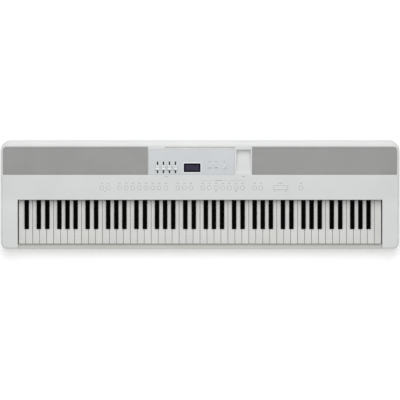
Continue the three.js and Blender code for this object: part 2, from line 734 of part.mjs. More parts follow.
// Every key by its place: naturals are counted from the lowest A.
function naturalKeys() {
  const keys = [];
  for (let i = 0; i < WHITE_KEYS; i++) {
    const step = (i + FIRST_NATURAL) % 7;
    const octave = Math.floor((i + FIRST_NATURAL) / 7);
    const left = -keyboardHalf + i * WHITE_PITCH;
    const octaveLeft = left - step * WHITE_PITCH;
    const before = octaveSharps.find((s) => s.after === step - 1);
    const after = octaveSharps.find((s) => s.after === step);
    keys.push({
      note: NOTES[step],
      octave,
      left,
      tailLeft: before && i > 0 ? octaveLeft + before.x + slotWidth / 2 : left + KEY_GAP / 2,
      tailRight:
        after && i < WHITE_KEYS - 1
          ? octaveLeft + after.x - slotWidth / 2
          : left + WHITE_PITCH - KEY_GAP / 2,
      sharpX: after && i < WHITE_KEYS - 1 ? octaveLeft + after.x : null,
    });
  }
  return keys;
}

// A natural seen from above: a full-width head, and a tail that leaves room for the sharps.
function naturalKey(key) {
  const x0 = key.left + KEY_GAP / 2;
  const x1 = key.left + WHITE_PITCH - KEY_GAP / 2;
  const y0 = front + KEY_FRONT;
  const shoulder = y0 + WHITE_HEAD;
  const y1 = front + PIVOT + KEY_TAIL;
  const outline = [[x0, y0], [x1, y0]];
  if (key.tailRight < x1) outline.push([x1, shoulder], [key.tailRight, shoulder]);
  outline.push([key.tailRight, y1], [key.tailLeft, y1]);
  if (key.tailLeft > x0) outline.push([key.tailLeft, shoulder], [x0, shoulder]);
  return raised(polygon(outline), KEY_BOTTOM, KEY_TOP);
}

// A sharp: a stem between the naturals' tails under a cap that narrows and slopes at its front.
function sharpKey(x) {
  const y0 = KEY_FRONT + WHITE_HEAD + BLACK_CLEARANCE;
  const y1 = PIVOT + SHARP_TAIL;
  const top = KEY_TOP + BLACK_RISE;
  const profile = polygon([
    [y0, KEY_BOTTOM],
    [y1, KEY_BOTTOM],
    [y1, KEY_TOP],
    [DECK_FRONT + 2 * WALL + BLACK_SLOPE, KEY_TOP],
    [DECK_FRONT + 2 * WALL + BLACK_SLOPE, top],
    [y0 + BLACK_SLOPE, top],
    [y0 + 1, KEY_TOP + 1],
    [y0, KEY_TOP],
  ]);
  const stem = across(profile, x - BLACK_WIDTH / 2, x + BLACK_WIDTH / 2);
  const lean = (BLACK_WIDTH - BLACK_TOP_WIDTH) / 2;
  const wedge = polygon([
    [BLACK_WIDTH / 2, KEY_TOP + 1],
    [BLACK_WIDTH / 2 + 2, KEY_TOP + 1],
    [BLACK_WIDTH / 2 + 2, top + 1],
    [BLACK_WIDTH / 2 - lean, top],
  ]);
  const along = new THREE.ExtrudeGeometry(wedge, { depth: DEPTH, bevelEnabled: false });
  along.rotateX(Math.PI / 2);
  const right = solid(along, move(x, rear, 0));
  const left = right.translate([-x, 0, 0]).mirror([1, 0, 0]).translate([x, 0, 0]);
  return stem.subtract(right).subtract(left);
}

function join(solids) {
  return solids.reduce((whole, next) => whole.add(next));
}

// The middle octave's keys are separate; every other octave is a comb on a spine at its rear,
// and the odd keys at the two ends belong to the octave next to them.
const MIDDLE_OCTAVE = 4;

function addKeys() {
  const keys = naturalKeys();
  const spineY = front + PIVOT + KEY_TAIL;
  for (const key of keys.filter((k) => k.octave === MIDDLE_OCTAVE)) {
    piece("key_" + key.note + MIDDLE_OCTAVE, naturalKey(key), ivory);
    if (key.sharpX !== null) {
      piece("key_" + key.note + "_sharp" + MIDDLE_OCTAVE, sharpKey(key.sharpX), ebony);
    }
  }
  const combs = { 1: [0, 1], 2: [2], 3: [3], 5: [5], 6: [6], 7: [7, 8] };
  for (const [label, octaves] of Object.entries(combs)) {
    const own = keys.filter((k) => octaves.includes(k.octave));
    const sharps = own.filter((k) => k.sharpX !== null).map((k) => k.sharpX);
    const x0 = own[0].left + KEY_GAP / 2;
    const x1 = own[own.length - 1].left + WHITE_PITCH - KEY_GAP / 2;
    const spine = box(x0, x1, spineY - 0.5, spineY + COMB_SPINE, KEY_BOTTOM, KEY_TOP);
    piece("white_keys_octave_" + label, join(own.map(naturalKey)).add(spine), ivory);
    const s0 = sharps[0] - BLACK_WIDTH / 2;
    const s1 = sharps[sharps.length - 1] + BLACK_WIDTH / 2;
    const low = KEY_TOP + 2;
    const bridgeY = front + PIVOT + SHARP_TAIL;
    const bridge = box(s0, s1, bridgeY - COMB_SPINE, bridgeY, low, low + COMB_SPINE_HEIGHT);
    const risers = sharps.map((x) => {
      const reach = BLACK_WIDTH / 2;
      return box(x - reach, x + reach, bridgeY - COMB_SPINE, bridgeY, KEY_TOP - 1, low + 1);
    });
    const comb = join([...sharps.map(sharpKey), bridge, ...risers]);
    piece("black_keys_octave_" + label, comb, ebony);
  }
}

piece("top_case", topCase(), caseWhite);
piece("bottom_case", bottomCase(), lowerWhite);
piece("rear_panel", rearPanel(), lowerWhite);
piece("jack_panel", jackPanel(), lowerWhite);
piece("jack_board", jackBoard(), ebony);
piece("key_slip", keySlip(), lowerWhite);
piece("speaker_grille_left", grille(-1), grilleGrey, deck);
piece("speaker_grille_right", grille(1), grilleGrey, deck);
addSpeaker("speaker_left", -1);
addSpeaker("speaker_right", 1);
for (const strip of BUTTON_STRIPS) piece(strip.name, buttonStrip(strip), caseWhite, deck);
piece("power_button", powerButton(), caseWhite, deck);
piece("transpose_rocker", rocker(), caseWhite, deck);
piece("control_panel", controlPanel(), panelGrey, deck);
sliderPlaces.forEach((x, i) => piece("slider_cap_" + (i + 1), sliderCap(x), caseWhite, deck));
piece("display_window", displayWindow(), displayDark, deck);
piece("display_module", displayModule(), ebony, deck);
for (const button of MENU_BUTTONS) piece(button.name, menuButton(button), caseWhite, deck);
piece("panel_board", panelBoard(), boardGreen, deck);
piece("main_board", mainBoard(), boardGreen);
piece("usb_socket", usbSocket(), steel);
piece("key_chassis", keyChassis(), steel);
piece("key_contact_board", contactBoard(), boardGreen);
const footX = side - FOOT_INSET_X;
piece("foot_front_left", foot(-footX, front + FOOT_INSET_Y), rubber);
piece("foot_front_right", foot(footX, front + FOOT_INSET_Y), rubber);
piece("foot_rear_left", foot(-footX, rear - FOOT_INSET_Y), rubber);
piece("foot_rear_right", foot(footX, rear - FOOT_INSET_Y), rubber);
addKeys();

export default part;
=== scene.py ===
"""The looks of a slab digital piano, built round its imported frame. All lengths are in metres."""
import json
import math

import bpy
import numpy as np
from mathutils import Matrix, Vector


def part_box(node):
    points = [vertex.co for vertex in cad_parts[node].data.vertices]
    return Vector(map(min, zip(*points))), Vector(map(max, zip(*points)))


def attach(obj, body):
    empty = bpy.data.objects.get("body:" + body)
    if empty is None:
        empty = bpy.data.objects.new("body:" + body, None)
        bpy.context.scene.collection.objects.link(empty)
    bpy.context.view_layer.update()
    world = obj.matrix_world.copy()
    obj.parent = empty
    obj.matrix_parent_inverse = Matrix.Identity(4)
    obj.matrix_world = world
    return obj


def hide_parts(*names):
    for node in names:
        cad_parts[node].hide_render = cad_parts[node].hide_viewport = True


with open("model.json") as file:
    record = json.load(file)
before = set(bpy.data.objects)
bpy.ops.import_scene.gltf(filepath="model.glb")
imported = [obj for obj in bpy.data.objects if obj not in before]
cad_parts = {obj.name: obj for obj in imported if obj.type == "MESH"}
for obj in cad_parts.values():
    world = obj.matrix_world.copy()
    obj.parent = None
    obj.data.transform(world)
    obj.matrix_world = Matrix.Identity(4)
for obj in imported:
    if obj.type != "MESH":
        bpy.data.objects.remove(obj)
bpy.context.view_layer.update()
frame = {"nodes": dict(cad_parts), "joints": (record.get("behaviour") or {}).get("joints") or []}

# Studio: a pale floor that glows a little, a broad soft light above and behind, a weak one above the
# front, and a camera that looks straight down from so far away that there is almost no perspective.
# Its lens covers PICTURE_WIDTH at the height of the key tops.
CAMERA_DISTANCE = 30.0
CAMERA_Y = -0.0195
PICTURE_WIDTH = 1.348
SENSOR = 36.0
KEY_TOP = 0.084
camera_data = bpy.data.cameras.new("studio_camera")
camera_data.sensor_width = SENSOR
camera_data.lens = SENSOR * CAMERA_DISTANCE / PICTURE_WIDTH
camera = bpy.data.objects.new("studio_camera", camera_data)
camera.location = (0.0, CAMERA_Y, KEY_TOP + CAMERA_DISTANCE)
bpy.context.scene.collection.objects.link(camera)
bpy.context.scene.camera = camera
bpy.context.scene.view_settings.view_transform = "Standard"


def studio_light(name, place, aim, size, power):
    """A square soft light at place, turned to face the point aim."""
    data = bpy.data.lights.new(name, "AREA")
    data.size = size
    data.energy = power
    light = bpy.data.objects.new(name, data)
    light.location = place
    across, ahead, up = (a - b for a, b in zip(aim, place))
    light.rotation_euler = (math.atan2(math.hypot(across, ahead), -up), 0.0, math.atan2(-across, ahead))
    bpy.context.scene.collection.objects.link(light)


studio_light("rear_light", (0.0, 1.3, 2.6), (0.0, 0.0, 0.1), 3.0, 74.0)
studio_light("front_light", (0.0, -1.4, 2.6), (0.0, 0.0, 0.1), 2.0, 6.0)
world = bpy.data.worlds.new("studio_world")
world.use_nodes = True
world.node_tree.nodes["Background"].inputs["Color"].default_value = (1.0, 1.0, 1.0, 1.0)
world.node_tree.nodes["Background"].inputs["Strength"].default_value = 0.45
bpy.context.scene.world = world


def surface_of(name, inputs):
    """A new material whose surface shader has the inputs given."""
    material = bpy.data.materials.new(name)
    material.use_nodes = True
    for socket, value in inputs.items():
        material.node_tree.nodes["Principled BSDF"].inputs[socket].default_value = value
    return material


FLOOR = 14.0
floor_material = surface_of("studio_floor", {
    "Roughness": 0.9, "Base Color": (0.97, 0.97, 0.97, 1.0),
    "Emission Color": (1.0, 1.0, 1.0, 1.0), "Emission Strength": 0.24})
floor_mesh = bpy.data.meshes.new("studio_floor")
floor_corners = [(-FLOOR, -FLOOR, 0.0), (FLOOR, -FLOOR, 0.0), (FLOOR, FLOOR, 0.0), (-FLOOR, FLOOR, 0.0)]
floor_mesh.from_pydata(floor_corners, [], [(0, 1, 2, 3)])
floor_mesh.materials.append(floor_material)
floor = bpy.data.objects.new("studio_floor", floor_mesh)
bpy.context.scene.collection.objects.link(floor)

# Upper case: one injection-moulded shell of white plastic, 3 mm thick, with the cheeks, the sloping
# deck and the rear edge in one, screwed down on the lower case from below. Its roof is a sheet z(y)
# on a rounded plan, and all round it is rolled over into upright walls.
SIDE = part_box("top_case")[1].x
FRONT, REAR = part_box("top_case")[0].y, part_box("top_case")[1].y
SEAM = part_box("top_case")[0].z
WALL = 0.003
FRONT_CORNER = 0.020
REAR_CORNER = 0.036
EDGE_ROUND = 0.007
REAR_ROUND = 0.018
DECK_START = 0.1655
DECK_Y = FRONT + DECK_START
DECK_Z = 0.109
CHEEK_START = 0.009
CHEEK_Z = 0.092
DECK_END = FRONT + 0.345
CHEEK_RISE = (DECK_Z - CHEEK_Z) / (DECK_START - CHEEK_START)
slider_axis = next(joint["axis"] for joint in frame["joints"] if joint["name"] == "slider_1_travel")
SLOPE = math.atan2(slider_axis[2], slider_axis[1])


def softened(y, knee, before, after, reach):
    """Two straight slopes that meet at knee, joined by a parabola over reach on each side of it."""
    inside = np.clip(y, knee - reach, knee + reach) - (knee - reach)
    outside = before * np.minimum(y - knee, -reach) + after * np.maximum(y - knee - reach, 0.0)
    return outside + before * inside + (after - before) * inside**2 / (4 * reach)


def roof(y):
    """Height of the case: the cheeks' slow rise, then the deck's steeper slope, then a level band."""
    rise = softened(y, DECK_Y, CHEEK_RISE, math.tan(SLOPE), 0.012)
    past = np.maximum(y, DECK_END - 0.003)
    return DECK_Z + rise - softened(past, DECK_END, 0.0, math.tan(SLOPE), 0.003)


def on_deck(points):
    """Turns points given across the deck, up its slope and out of it into the instrument's frame."""
    x, up, out = np.moveaxis(np.asarray(points, float), -1, 0)
    y = DECK_Y + up * math.cos(SLOPE) - out * math.sin(SLOPE)
    return np.stack([x, y, DECK_Z + up * math.sin(SLOPE) + out * math.cos(SLOPE)], -1)


def up_deck(distance):
    """How far up the slope a point of the deck lies, from its distance behind the front edge."""
    return (FRONT + distance - DECK_Y) / math.cos(SLOPE)


def arc(x, y, radius, first, last, steps=7):
    """Points on a circle round (x, y) from one angle in degrees to another."""
    angle = np.radians(np.linspace(first, last, steps))
    return np.column_stack([x + radius * np.cos(angle), y + radius * np.sin(angle)])


def rounded(x0, x1, y0, y1, radii, steps=7):
    """A rectangle with quarter circles of the four radii for corners, anticlockwise from front left."""
    a, b, c, d = radii
    front = [arc(x0 + a, y0 + a, a, 180, 270, steps), arc(x1 - b, y0 + b, b, 270, 360, steps)]
    back = [arc(x1 - c, y1 - c, c, 0, 90, steps), arc(x0 + d, y1 - d, d, 90, 180, steps)]
    corners = [points if radius else points[:1] for points, radius in zip(front + back, radii)]
    return np.concatenate(corners)


def centred(x, y, half_x, half_y, radius, steps=7):
    """A rectangle with four like corners, from its middle and its half sizes."""
    return rounded(x - half_x, x + half_x, y - half_y, y + half_y, (radius,) * 4, steps)


def disc(x, y, radius, steps=40):
    """A circle as an outline."""
    return arc(x, y, radius, 0, 360, steps + 1)[:-1]


def mitre(outline):
    """How each corner of an anticlockwise outline moves when every side moves out by one:
    the sum of the two sides' normals, over one plus their product."""
    after = np.roll(outline, -1, 0) - outline
    after = np.column_stack([after[:, 1], -after[:, 0]]) / np.linalg.norm(after, axis=1)[:, None]
    before = np.roll(after, 1, 0)
    return (before + after) / (1.0 + np.sum(before * after, -1))[:, None]


def levels(bottom, top, bottom_round=0.0, top_round=0.0, steps=4):
    """The side of a block as (out, height) pairs: an upright between two quarter circles."""
    turn = np.linspace(0.0, math.pi / 2, steps + 1)
    low = np.column_stack([bottom_round * (np.sin(turn) - 1), bottom + bottom_round * (1 - np.cos(turn))])
    high = np.column_stack([top_round * (np.cos(turn) - 1), top - top_round * (1 - np.sin(turn))])
    return np.concatenate([low if bottom_round else low[:1], high if top_round else high[:1]])


def block(outline, side):
    """Rings of an outline, one for each (out, height) pair: the corner's place plus out times its mitre."""
    side = np.asarray(side, float)
    plan = np.asarray(outline, float) + side[:, :1, None] * mitre(np.asarray(outline, float))
    heights = np.broadcast_to(side[:, 1, None, None], plan.shape[:2] + (1,))
    return np.concatenate([plan, heights], -1)


def skin(rings, closed=True):
    """The quads between rings of points, and a face over each end where the ends are closed."""
    count, around = rings.shape[:2]
    index = np.arange(count * around).reshape(count, around)
    near, far = (index[:-1], index[1:]) if closed else (index, np.roll(index, -1, 0))
    quads = np.stack([near, np.roll(near, -1, 1), np.roll(far, -1, 1), far], -1).reshape(-1, 4).tolist()
    return quads + ([index[0][::-1].tolist(), index[-1].tolist()] if closed else [])


def shape(rings, closed=True):
    """Rings of points as a shape: its points and its faces."""
    return rings.reshape(-1, 3), skin(rings, closed)


def together(shapes):
    """Several shapes as one: their points in a row, and their faces counted on."""
    points = np.concatenate([points for points, _ in shapes])
    starts = np.cumsum([0] + [len(points) for points, _ in shapes])
    faces = [[corner + start for corner in face] for (_, own), start in zip(shapes, starts) for face in own]
    return points, faces


CRISP = 30.0


def made(name, form, material, crisp=CRISP):
    """A piece with the form's points and faces, smooth but for edges sharper than crisp degrees."""
    mesh = bpy.data.meshes.new(name)
    mesh.from_pydata(form[0].tolist(), [], form[1])
    mesh.materials.append(material)
    mesh.shade_smooth()
    mesh.set_sharp_from_angle(angle=math.radians(crisp))
    piece = bpy.data.objects.new(name, mesh)
    bpy.context.scene.collection.objects.link(piece)
    return piece


def fitted(piece, body, finish, *nodes):
    """The piece rides on a body and stands for the nodes named; the finish it is given is not used."""
    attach(piece, body)
    if nodes:
        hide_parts(*nodes)


def placed(name, form, material, body, finish, *nodes, crisp=CRISP):
    """A piece that is made and fitted as it is."""
    fitted(made(name, form, material, crisp), body, finish, *nodes)


def cut(piece, shapes):
    """Cuts shapes out of a piece, for good."""
    tool = made(piece.name + "_tool", together(shapes), piece.data.materials[0])
    modifier = piece.modifiers.new("cut", "BOOLEAN")
    modifier.operation = "DIFFERENCE"
    modifier.solver = "EXACT"
    modifier.object = tool
    old = piece.data
    evaluated = piece.evaluated_get(bpy.context.evaluated_depsgraph_get())
    piece.data = bpy.data.meshes.new_from_object(evaluated)
    piece.modifiers.clear()
    piece.data.set_sharp_from_angle(angle=math.radians(CRISP))
    bpy.data.objects.remove(tool)
    bpy.data.meshes.remove(old)


def roofed(rows, half_widths, leans, heights, side, reach, floor):
    """A shape under a roof z(y): points across X in each row, then rings that leave the roof's edge
    by (out, down) times the reach, which grows from the first value to the second towards the rear
    by a smooth step of the edge's lean, and an upright wall to a flat bottom at floor."""
    across = np.linspace(-1.0, 1.0, 41)
    wide = np.ones_like(across)
    grid = np.stack([np.outer(half_widths, across), np.outer(rows, wide), np.outer(heights, wide)], -1)
    index = np.arange(grid[..., 0].size).reshape(grid.shape[:2])
    quads = np.stack([index[:-1, :-1], index[:-1, 1:], index[1:, 1:], index[1:, :-1]], -1).reshape(-1, 4)
    edge = np.concatenate([index[0, 1:-1], index[:, -1], index[-1, -2:0:-1], index[::-1, 0]])
    forward = np.tile([0.0, -1.0], (len(across) - 2, 1))
    lean = np.concatenate([forward, leans, -forward, (leans * [-1.0, 1.0])[::-1]])
    rearward = np.clip(lean[:, 1:], 0.0, 1.0)
    local = reach[0] + (reach[1] - reach[0]) * rearward**2 * (3 - 2 * rearward)
    base = grid.reshape(-1, 3)[edge]
    out, down = np.asarray(side, float).T[..., None, None]
    rings = np.concatenate([base[:, :2] + out * local * lean, base[:, 2:] - down * local], -1)
    foot = rings[-1:].copy()
    foot[..., 2] = floor
    rings = np.concatenate([base[None], rings, foot])
    points = np.concatenate([grid.reshape(-1, 3), rings[1:].reshape(-1, 3)])
    lower = index.size + np.arange(rings[1:, :, 0].size).reshape(-1, len(edge))
    counted = np.concatenate([edge[None], lower])
    near, far = counted[:-1], counted[1:]
    walls = np.stack([np.roll(near, -1, 1), near, far, np.roll(far, -1, 1)], -1).reshape(-1, 4)
    return points, quads.tolist() + walls.tolist() + [counted[-1][::-1].tolist()]


def quarter(first=0.0, steps=7):
    """A rolled edge as (out, down) pairs in radii: sin t and 1 - cos t, from an angle to 90 degrees."""
    turn = np.radians(np.linspace(first, 90.0, steps))
    return np.column_stack([np.sin(turn), 1 - np.cos(turn)])


def case_edge(inset, front_reach, rear_reach):
    """The case's right side from above, drawn in by an inset and by the reach of the rolled edge:
    a quarter circle, a straight and a larger quarter circle. Gives rows, half widths and leans."""
    rear_turn = np.radians(np.linspace(0.0, 90.0, 25))
    front_turn = np.radians(np.linspace(-90.0, 0.0, 12))
    rearward = np.sin(rear_turn)
    reach = front_reach + (rear_reach - front_reach) * rearward**2 * (3 - 2 * rearward)
    front_radius = FRONT_CORNER - inset - front_reach
    rear_radius = REAR_CORNER - inset - reach
    straight = np.linspace(FRONT + FRONT_CORNER + 0.004, REAR - REAR_CORNER - 0.004, 60)
    rows = np.concatenate([FRONT + FRONT_CORNER + front_radius * np.sin(front_turn), straight,
                           REAR - REAR_CORNER + rear_radius * np.sin(rear_turn)])
    widths = np.concatenate([SIDE - FRONT_CORNER + front_radius * np.cos(front_turn),
                             np.full(len(straight), SIDE - inset - front_reach),
                             SIDE - REAR_CORNER + rear_radius * np.cos(rear_turn)])
    turn = np.concatenate([front_turn, np.zeros(len(straight)), rear_turn])
    return rows, widths, np.column_stack([np.cos(turn), np.sin(turn)])


def straight_up(x0, x1, y0, y1, z0, z1):
    """A box as a shape."""
    return shape(block([(x0, y0), (x1, y0), (x1, y1), (x0, y1)], [(0.0, z0), (0.0, z1)]))


def in_deck(outline, side, closed=True):
    """A block that stands square to the deck."""
    return shape(on_deck(block(outline, side)), closed)


def opening(outline, depth, rim=0.0005):
    """What is cut out of the deck for a piece set in it: an upright hole with a small chamfer."""
    return in_deck(outline, [(0.0, -depth), (0.0, -rim), (rim * 0.3, -rim * 0.3), (rim, 0.0), (rim, 0.03)])


def across(outline, side):
    """A block that lies across the instrument: its outline is a side view, and its heights run along X."""
    along, up, x = np.moveaxis(block(outline, side), -1, 0)
    return shape(np.stack([x, along, up], -1))


def srgb(red, green, blue):
    """A colour given as three screen values from 0 to 255, as the light that a shader works in."""
    value = np.array([red, green, blue]) / 255.0
    light = np.where(value <= 0.04045, value / 12.92, ((value + 0.055) / 1.055) ** 2.4)
    return (*light.tolist(), 1.0)


def pattern(material, scale, detail, stretch=(1.0, 1.0, 1.0)):
    """Noise fixed to the piece: fractal noise of the piece's own coordinates times stretch. Gives the
    material's node tree, the inputs of its surface shader, and the noise."""
    tree = material.node_tree
    place = tree.nodes.new("ShaderNodeTexCoord")
    mapping = tree.nodes.new("ShaderNodeMapping")
    mapping.inputs["Scale"].default_value = stretch
    noise = tree.nodes.new("ShaderNodeTexNoise")
    noise.inputs["Scale"].default_value = scale
    noise.inputs["Detail"].default_value = detail
    tree.links.new(place.outputs["Object"], mapping.inputs["Vector"])
    tree.links.new(mapping.outputs["Vector"], noise.inputs["Vector"])
    return tree, tree.nodes["Principled BSDF"].inputs, noise.outputs["Fac"]


def coloured(material, noise, low, high, first=0.3, last=0.7):
    """Colours a material by a pattern, from one screen colour at first to another at last."""
    tree, inputs, value = pattern(material, *noise)
    shades = tree.nodes.new("ShaderNodeValToRGB")
    for stop, position, colour in zip(shades.color_ramp.elements, (first, last), (low, high)):
        stop.position = position
        stop.color = srgb(*colour)
    tree.links.new(value, shades.inputs["Fac"])
    tree.links.new(shades.outputs["Color"], inputs["Base Color"])


def glossed(material, noise, low, high):
    """Varies a material's roughness by a pattern, from low at 0.3 to high at 0.7."""
    tree, inputs, value = pattern(material, *noise)
    mapping = tree.nodes.new("ShaderNodeMapRange")
    for socket, number in (("From Min", 0.3), ("From Max", 0.7), ("To Min", low), ("To Max", high)):
        mapping.inputs[socket].default_value = number
    tree.links.new(value, mapping.inputs["Value"])
    tree.links.new(mapping.outputs["Result"], inputs["Roughness"])


def textured(material, noise, depth, strength):
    """Raises a material's fine texture by a pattern, up to depth."""
    tree, inputs, value = pattern(material, *noise)
    bump = tree.nodes.new("ShaderNodeBump")
    bump.inputs["Distance"].default_value = depth
    bump.inputs["Strength"].default_value = strength
    tree.links.new(value, bump.inputs["Height"])
    tree.links.new(bump.outputs["Normal"], inputs["Normal"])


def moulded(name, low, high, roughness, grain=0.0007, depth=0.00002, specular=0.5):
    """Moulded plastic: its colour drifts between two shades over a hand's width and its gloss over
    a finger's, on a fine spark-eroded grain."""
    material = surface_of(name, {"Roughness": roughness, "Specular IOR Level": specular})
    coloured(material, (9.0, 3.0), low, high)
    glossed(material, (55.0, 4.0), roughness - 0.05, roughness + 0.07)
    textured(material, (1.0 / grain, 2.0), depth, 0.5)
    return material


case_white = moulded("white_case_plastic", (205, 207, 206), (209, 211, 210), 0.42)
rows, widths, leans = case_edge(0.0, EDGE_ROUND, REAR_ROUND)
shell = roofed(rows, widths, leans, roof(rows), quarter(15.0), (EDGE_ROUND, REAR_ROUND), SEAM)
upper_case = made("upper_case", shell, case_white)

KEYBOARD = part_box("key_chassis")[1].x
WELL = KEYBOARD + 0.003
WELL_ROUND = 0.0022
LIP_Z = 0.0995
inner_round = (0.004, REAR_ROUND - WALL)
rows, widths, leans = case_edge(WALL, *inner_round)
behind = rows > DECK_Y + WALL + inner_round[0]
rows, widths, leans = rows[behind], widths[behind], leans[behind]
rows[0], leans[0] = DECK_Y + WALL + inner_round[0], (1.0, -1.0)
deck_hollow = roofed(rows, widths, leans, roof(rows) - WALL, quarter(15.0), inner_round, SEAM - 0.01)
cheeks = [(-SIDE + 2 * WALL, -WELL - WALL), (WELL + WALL, SIDE - 2 * WALL)]
cheek_hollows = [straight_up(*cheek, FRONT + 0.02, DECK_Y - WALL, SEAM - 0.01, 0.086) for cheek in cheeks]
cut(upper_case, [deck_hollow, *cheek_hollows])

# Openings for the two grilles, the memory stick and the music rest.
HANDS = {"left": -1, "right": 1}
GRILLE_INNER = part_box("speaker_grille_right")[0].x - 0.0003
GRILLE_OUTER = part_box("speaker_grille_right")[1].x + 0.0003
GRILLE_U = (up_deck(0.2491), up_deck(0.3435))
GRILLE_CORNER = 0.012
GRILLE_DEPTH = 0.0028
RECESS_X = (0.1227, 0.171)
RECESS_Y = (FRONT + 0.252, FRONT + 0.334)
RECESS_DROP = 0.017
REST_SLOT = (0.118, 0.003)
SLOT_Y = FRONT + 0.340
SLOT_DEPTH = 0.014
SLOT_CHAMFER = 0.0008
CASE_TOP = 0.150


def grille_plan(hand, grow):
    """A grille from above, left or right: a rectangle with one round corner, rear and outside."""
    corners = (0.0, 0.0, GRILLE_CORNER + grow, 0.0) if hand > 0 else (0.0, 0.0, 0.0, GRILLE_CORNER + grow)
    ends = sorted((hand * (GRILLE_INNER - grow), hand * (GRILLE_OUTER + grow)))
    return rounded(*ends, GRILLE_U[0] - grow, GRILLE_U[1] + grow, corners, 10)


def ramp(grow, above):
    """The memory-stick recess from the side: a floor that falls from the deck to an upright rear wall."""
    y0, y1 = RECESS_Y[0] - grow, RECESS_Y[1] + grow
    floor_z = roof(RECESS_Y[1]) - RECESS_DROP - grow
    front_drop = min(-grow - 0.0004, above - 0.0008)
    return [(y0, roof(y0) + front_drop), (y1, floor_z), (y1, roof(y1) + above), (y0, roof(y0) + above)]


# The keywell's tool flares out to the roof in a quarter circle, so that it leaves a rolled edge.
LIFT = 0.02
LIP_Y = DECK_Y - 0.0006
well_rows = np.linspace(FRONT - 0.02, LIP_Y, 60)
well_leans = np.tile([1.0, 0.0], (len(well_rows), 1))
well_leans[-1] = (1.0, 1.0)
flare = np.column_stack([1 - quarter(0.0, 8)[:, 0], LIFT / WELL_ROUND - 0.03 + quarter(0.0, 8)[:, 1]])
well = roofed(well_rows, np.full(60, WELL), well_leans, roof(well_rows) + LIFT,
              [(1.0, 0.0), *flare], (WELL_ROUND, WELL_ROUND), SEAM - 0.02)

# Holes for what is set in the deck: the button caps, the rocker, the panel and the rest.
BUTTON_U = up_deck(0.206)
BUTTON_GAP = 0.0005
STRIP_REACH = (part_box("power_button")[1].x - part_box("power_button")[0].x) / 2
STRIP_MARGIN = 0.002
BUTTON_RADIUS = STRIP_REACH - STRIP_MARGIN
STRIPS = {"functions": 2, "voices": 8, "song": 3, "memory": 7, "rhythm": 2}
PANEL_X = (-0.173, 0.116)
PANEL_U = (up_deck(0.249), up_deck(0.334))


def cap_places(node, count):
    """The middles of a strip's caps: evenly spaced between the ends of the strip, less its margin."""
    low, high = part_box(node)
    return np.linspace(low.x + STRIP_REACH, high.x - STRIP_REACH, count)


places = {name: cap_places("button_strip_" + name, count) for name, count in STRIPS.items()}
places["power"] = cap_places("power_button", 1)
rocker_low, rocker_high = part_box("transpose_rocker")
PILL_HALF = 0.007


def pill(grow):
    """The rocker's outline: two half circles joined by straights."""
    half = PILL_HALF + grow
    x0, x1 = rocker_low.x - grow, rocker_high.x + grow
    return rounded(x0, x1, BUTTON_U - half, BUTTON_U + half, (half * 0.999,) * 4, 12)


holes = [opening(disc(x, BUTTON_U, BUTTON_RADIUS + BUTTON_GAP), 0.01, 0.0004)
         for x in np.concatenate(list(places.values()))]
holes.append(opening(pill(0.0006), 0.01))
holes += [opening(grille_plan(hand, 0.0), 0.01) for hand in HANDS.values()]
holes.append(opening(rounded(*PANEL_X, *PANEL_U, (0.0,) * 4), 0.01, 0.0004))
recess = across(ramp(0.0, 0.02), [(0.0, end) for end in RECESS_X])
holes.append(recess)
slot_plan = centred(0.0, SLOT_Y, *REST_SLOT, 0.0029)
slot_side = [(0.0, CASE_TOP - LIFT), (0.0, CASE_TOP - SLOT_CHAMFER), (SLOT_CHAMFER, CASE_TOP),
             (SLOT_CHAMFER, CASE_TOP + LIFT)]
holes.append(shape(block(slot_plan, slot_side)))
under_lip = straight_up(-WELL, WELL, FRONT + 0.01, DECK_Y + WALL + 0.004, SEAM - 0.02, LIP_Z)
for tools in ([well], [under_lip], holes):
    cut(upper_case, tools)
normals = upper_case.modifiers.new("face_weighted", "WEIGHTED_NORMAL")
normals.keep_sharp = True
fitted(upper_case, "case", "case_white", "top_case")


# Trays under the deck, moulded in the case's white plastic: a shallow one for each grille, a ramp for
# the memory stick and a trough for the foot of a music rest, whose plastic is coloured whiter as
# painted light. Each is glued under its opening.
def middle_x(node):
    """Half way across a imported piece."""
    low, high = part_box(node)
    return (low.x + high.x) / 2


TRAY_TOP = -0.0032
tray_step = [(WALL, -GRILLE_DEPTH - 0.0025), (WALL, TRAY_TOP), (-0.0003, TRAY_TOP), (-0.0003, -GRILLE_DEPTH)]
SPEAKER_X = middle_x("speaker_right")
SPEAKER_U = (GRILLE_U[0] + GRILLE_U[1]) / 2
MOUTH_RADIUS = 0.036
for name, hand in HANDS.items():
    tray = made("grille_tray_" + name, in_deck(grille_plan(hand, 0.0), tray_step), case_white)
    mouth = in_deck(disc(hand * SPEAKER_X, SPEAKER_U, MOUTH_RADIUS), [(0.0, -0.02), (0.0, 0.01)])
    cut(tray, [mouth])
    fitted(tray, "case", "case_white", "top_case")

usb_low, usb_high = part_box("usb_socket")
TRAY_WALL = 0.002
USB_FIT = 0.0003
tray_ends = [(0.0, RECESS_X[0] - TRAY_WALL), (0.0, RECESS_X[1] + TRAY_WALL)]
stick_tray = made("memory_stick_tray", across(ramp(TRAY_WALL, TRAY_TOP), tray_ends), case_white)
usb_hole = straight_up(usb_low.x - USB_FIT, usb_high.x + USB_FIT, RECESS_Y[1] - 0.001, RECESS_Y[1] + 0.005,
                       usb_low.z - USB_FIT, usb_high.z + USB_FIT)
cut(stick_tray, [recess])
cut(stick_tray, [usb_hole])
fitted(stick_tray, "case", "case_white", "top_case")

TROUGH_FLOOR = CASE_TOP - SLOT_DEPTH
TROUGH_RIM = 0.1469
trough_side = [(TRAY_WALL, TROUGH_FLOOR - TRAY_WALL), (TRAY_WALL, TROUGH_RIM), (0.0, TROUGH_RIM),
               (0.0, TROUGH_FLOOR)]
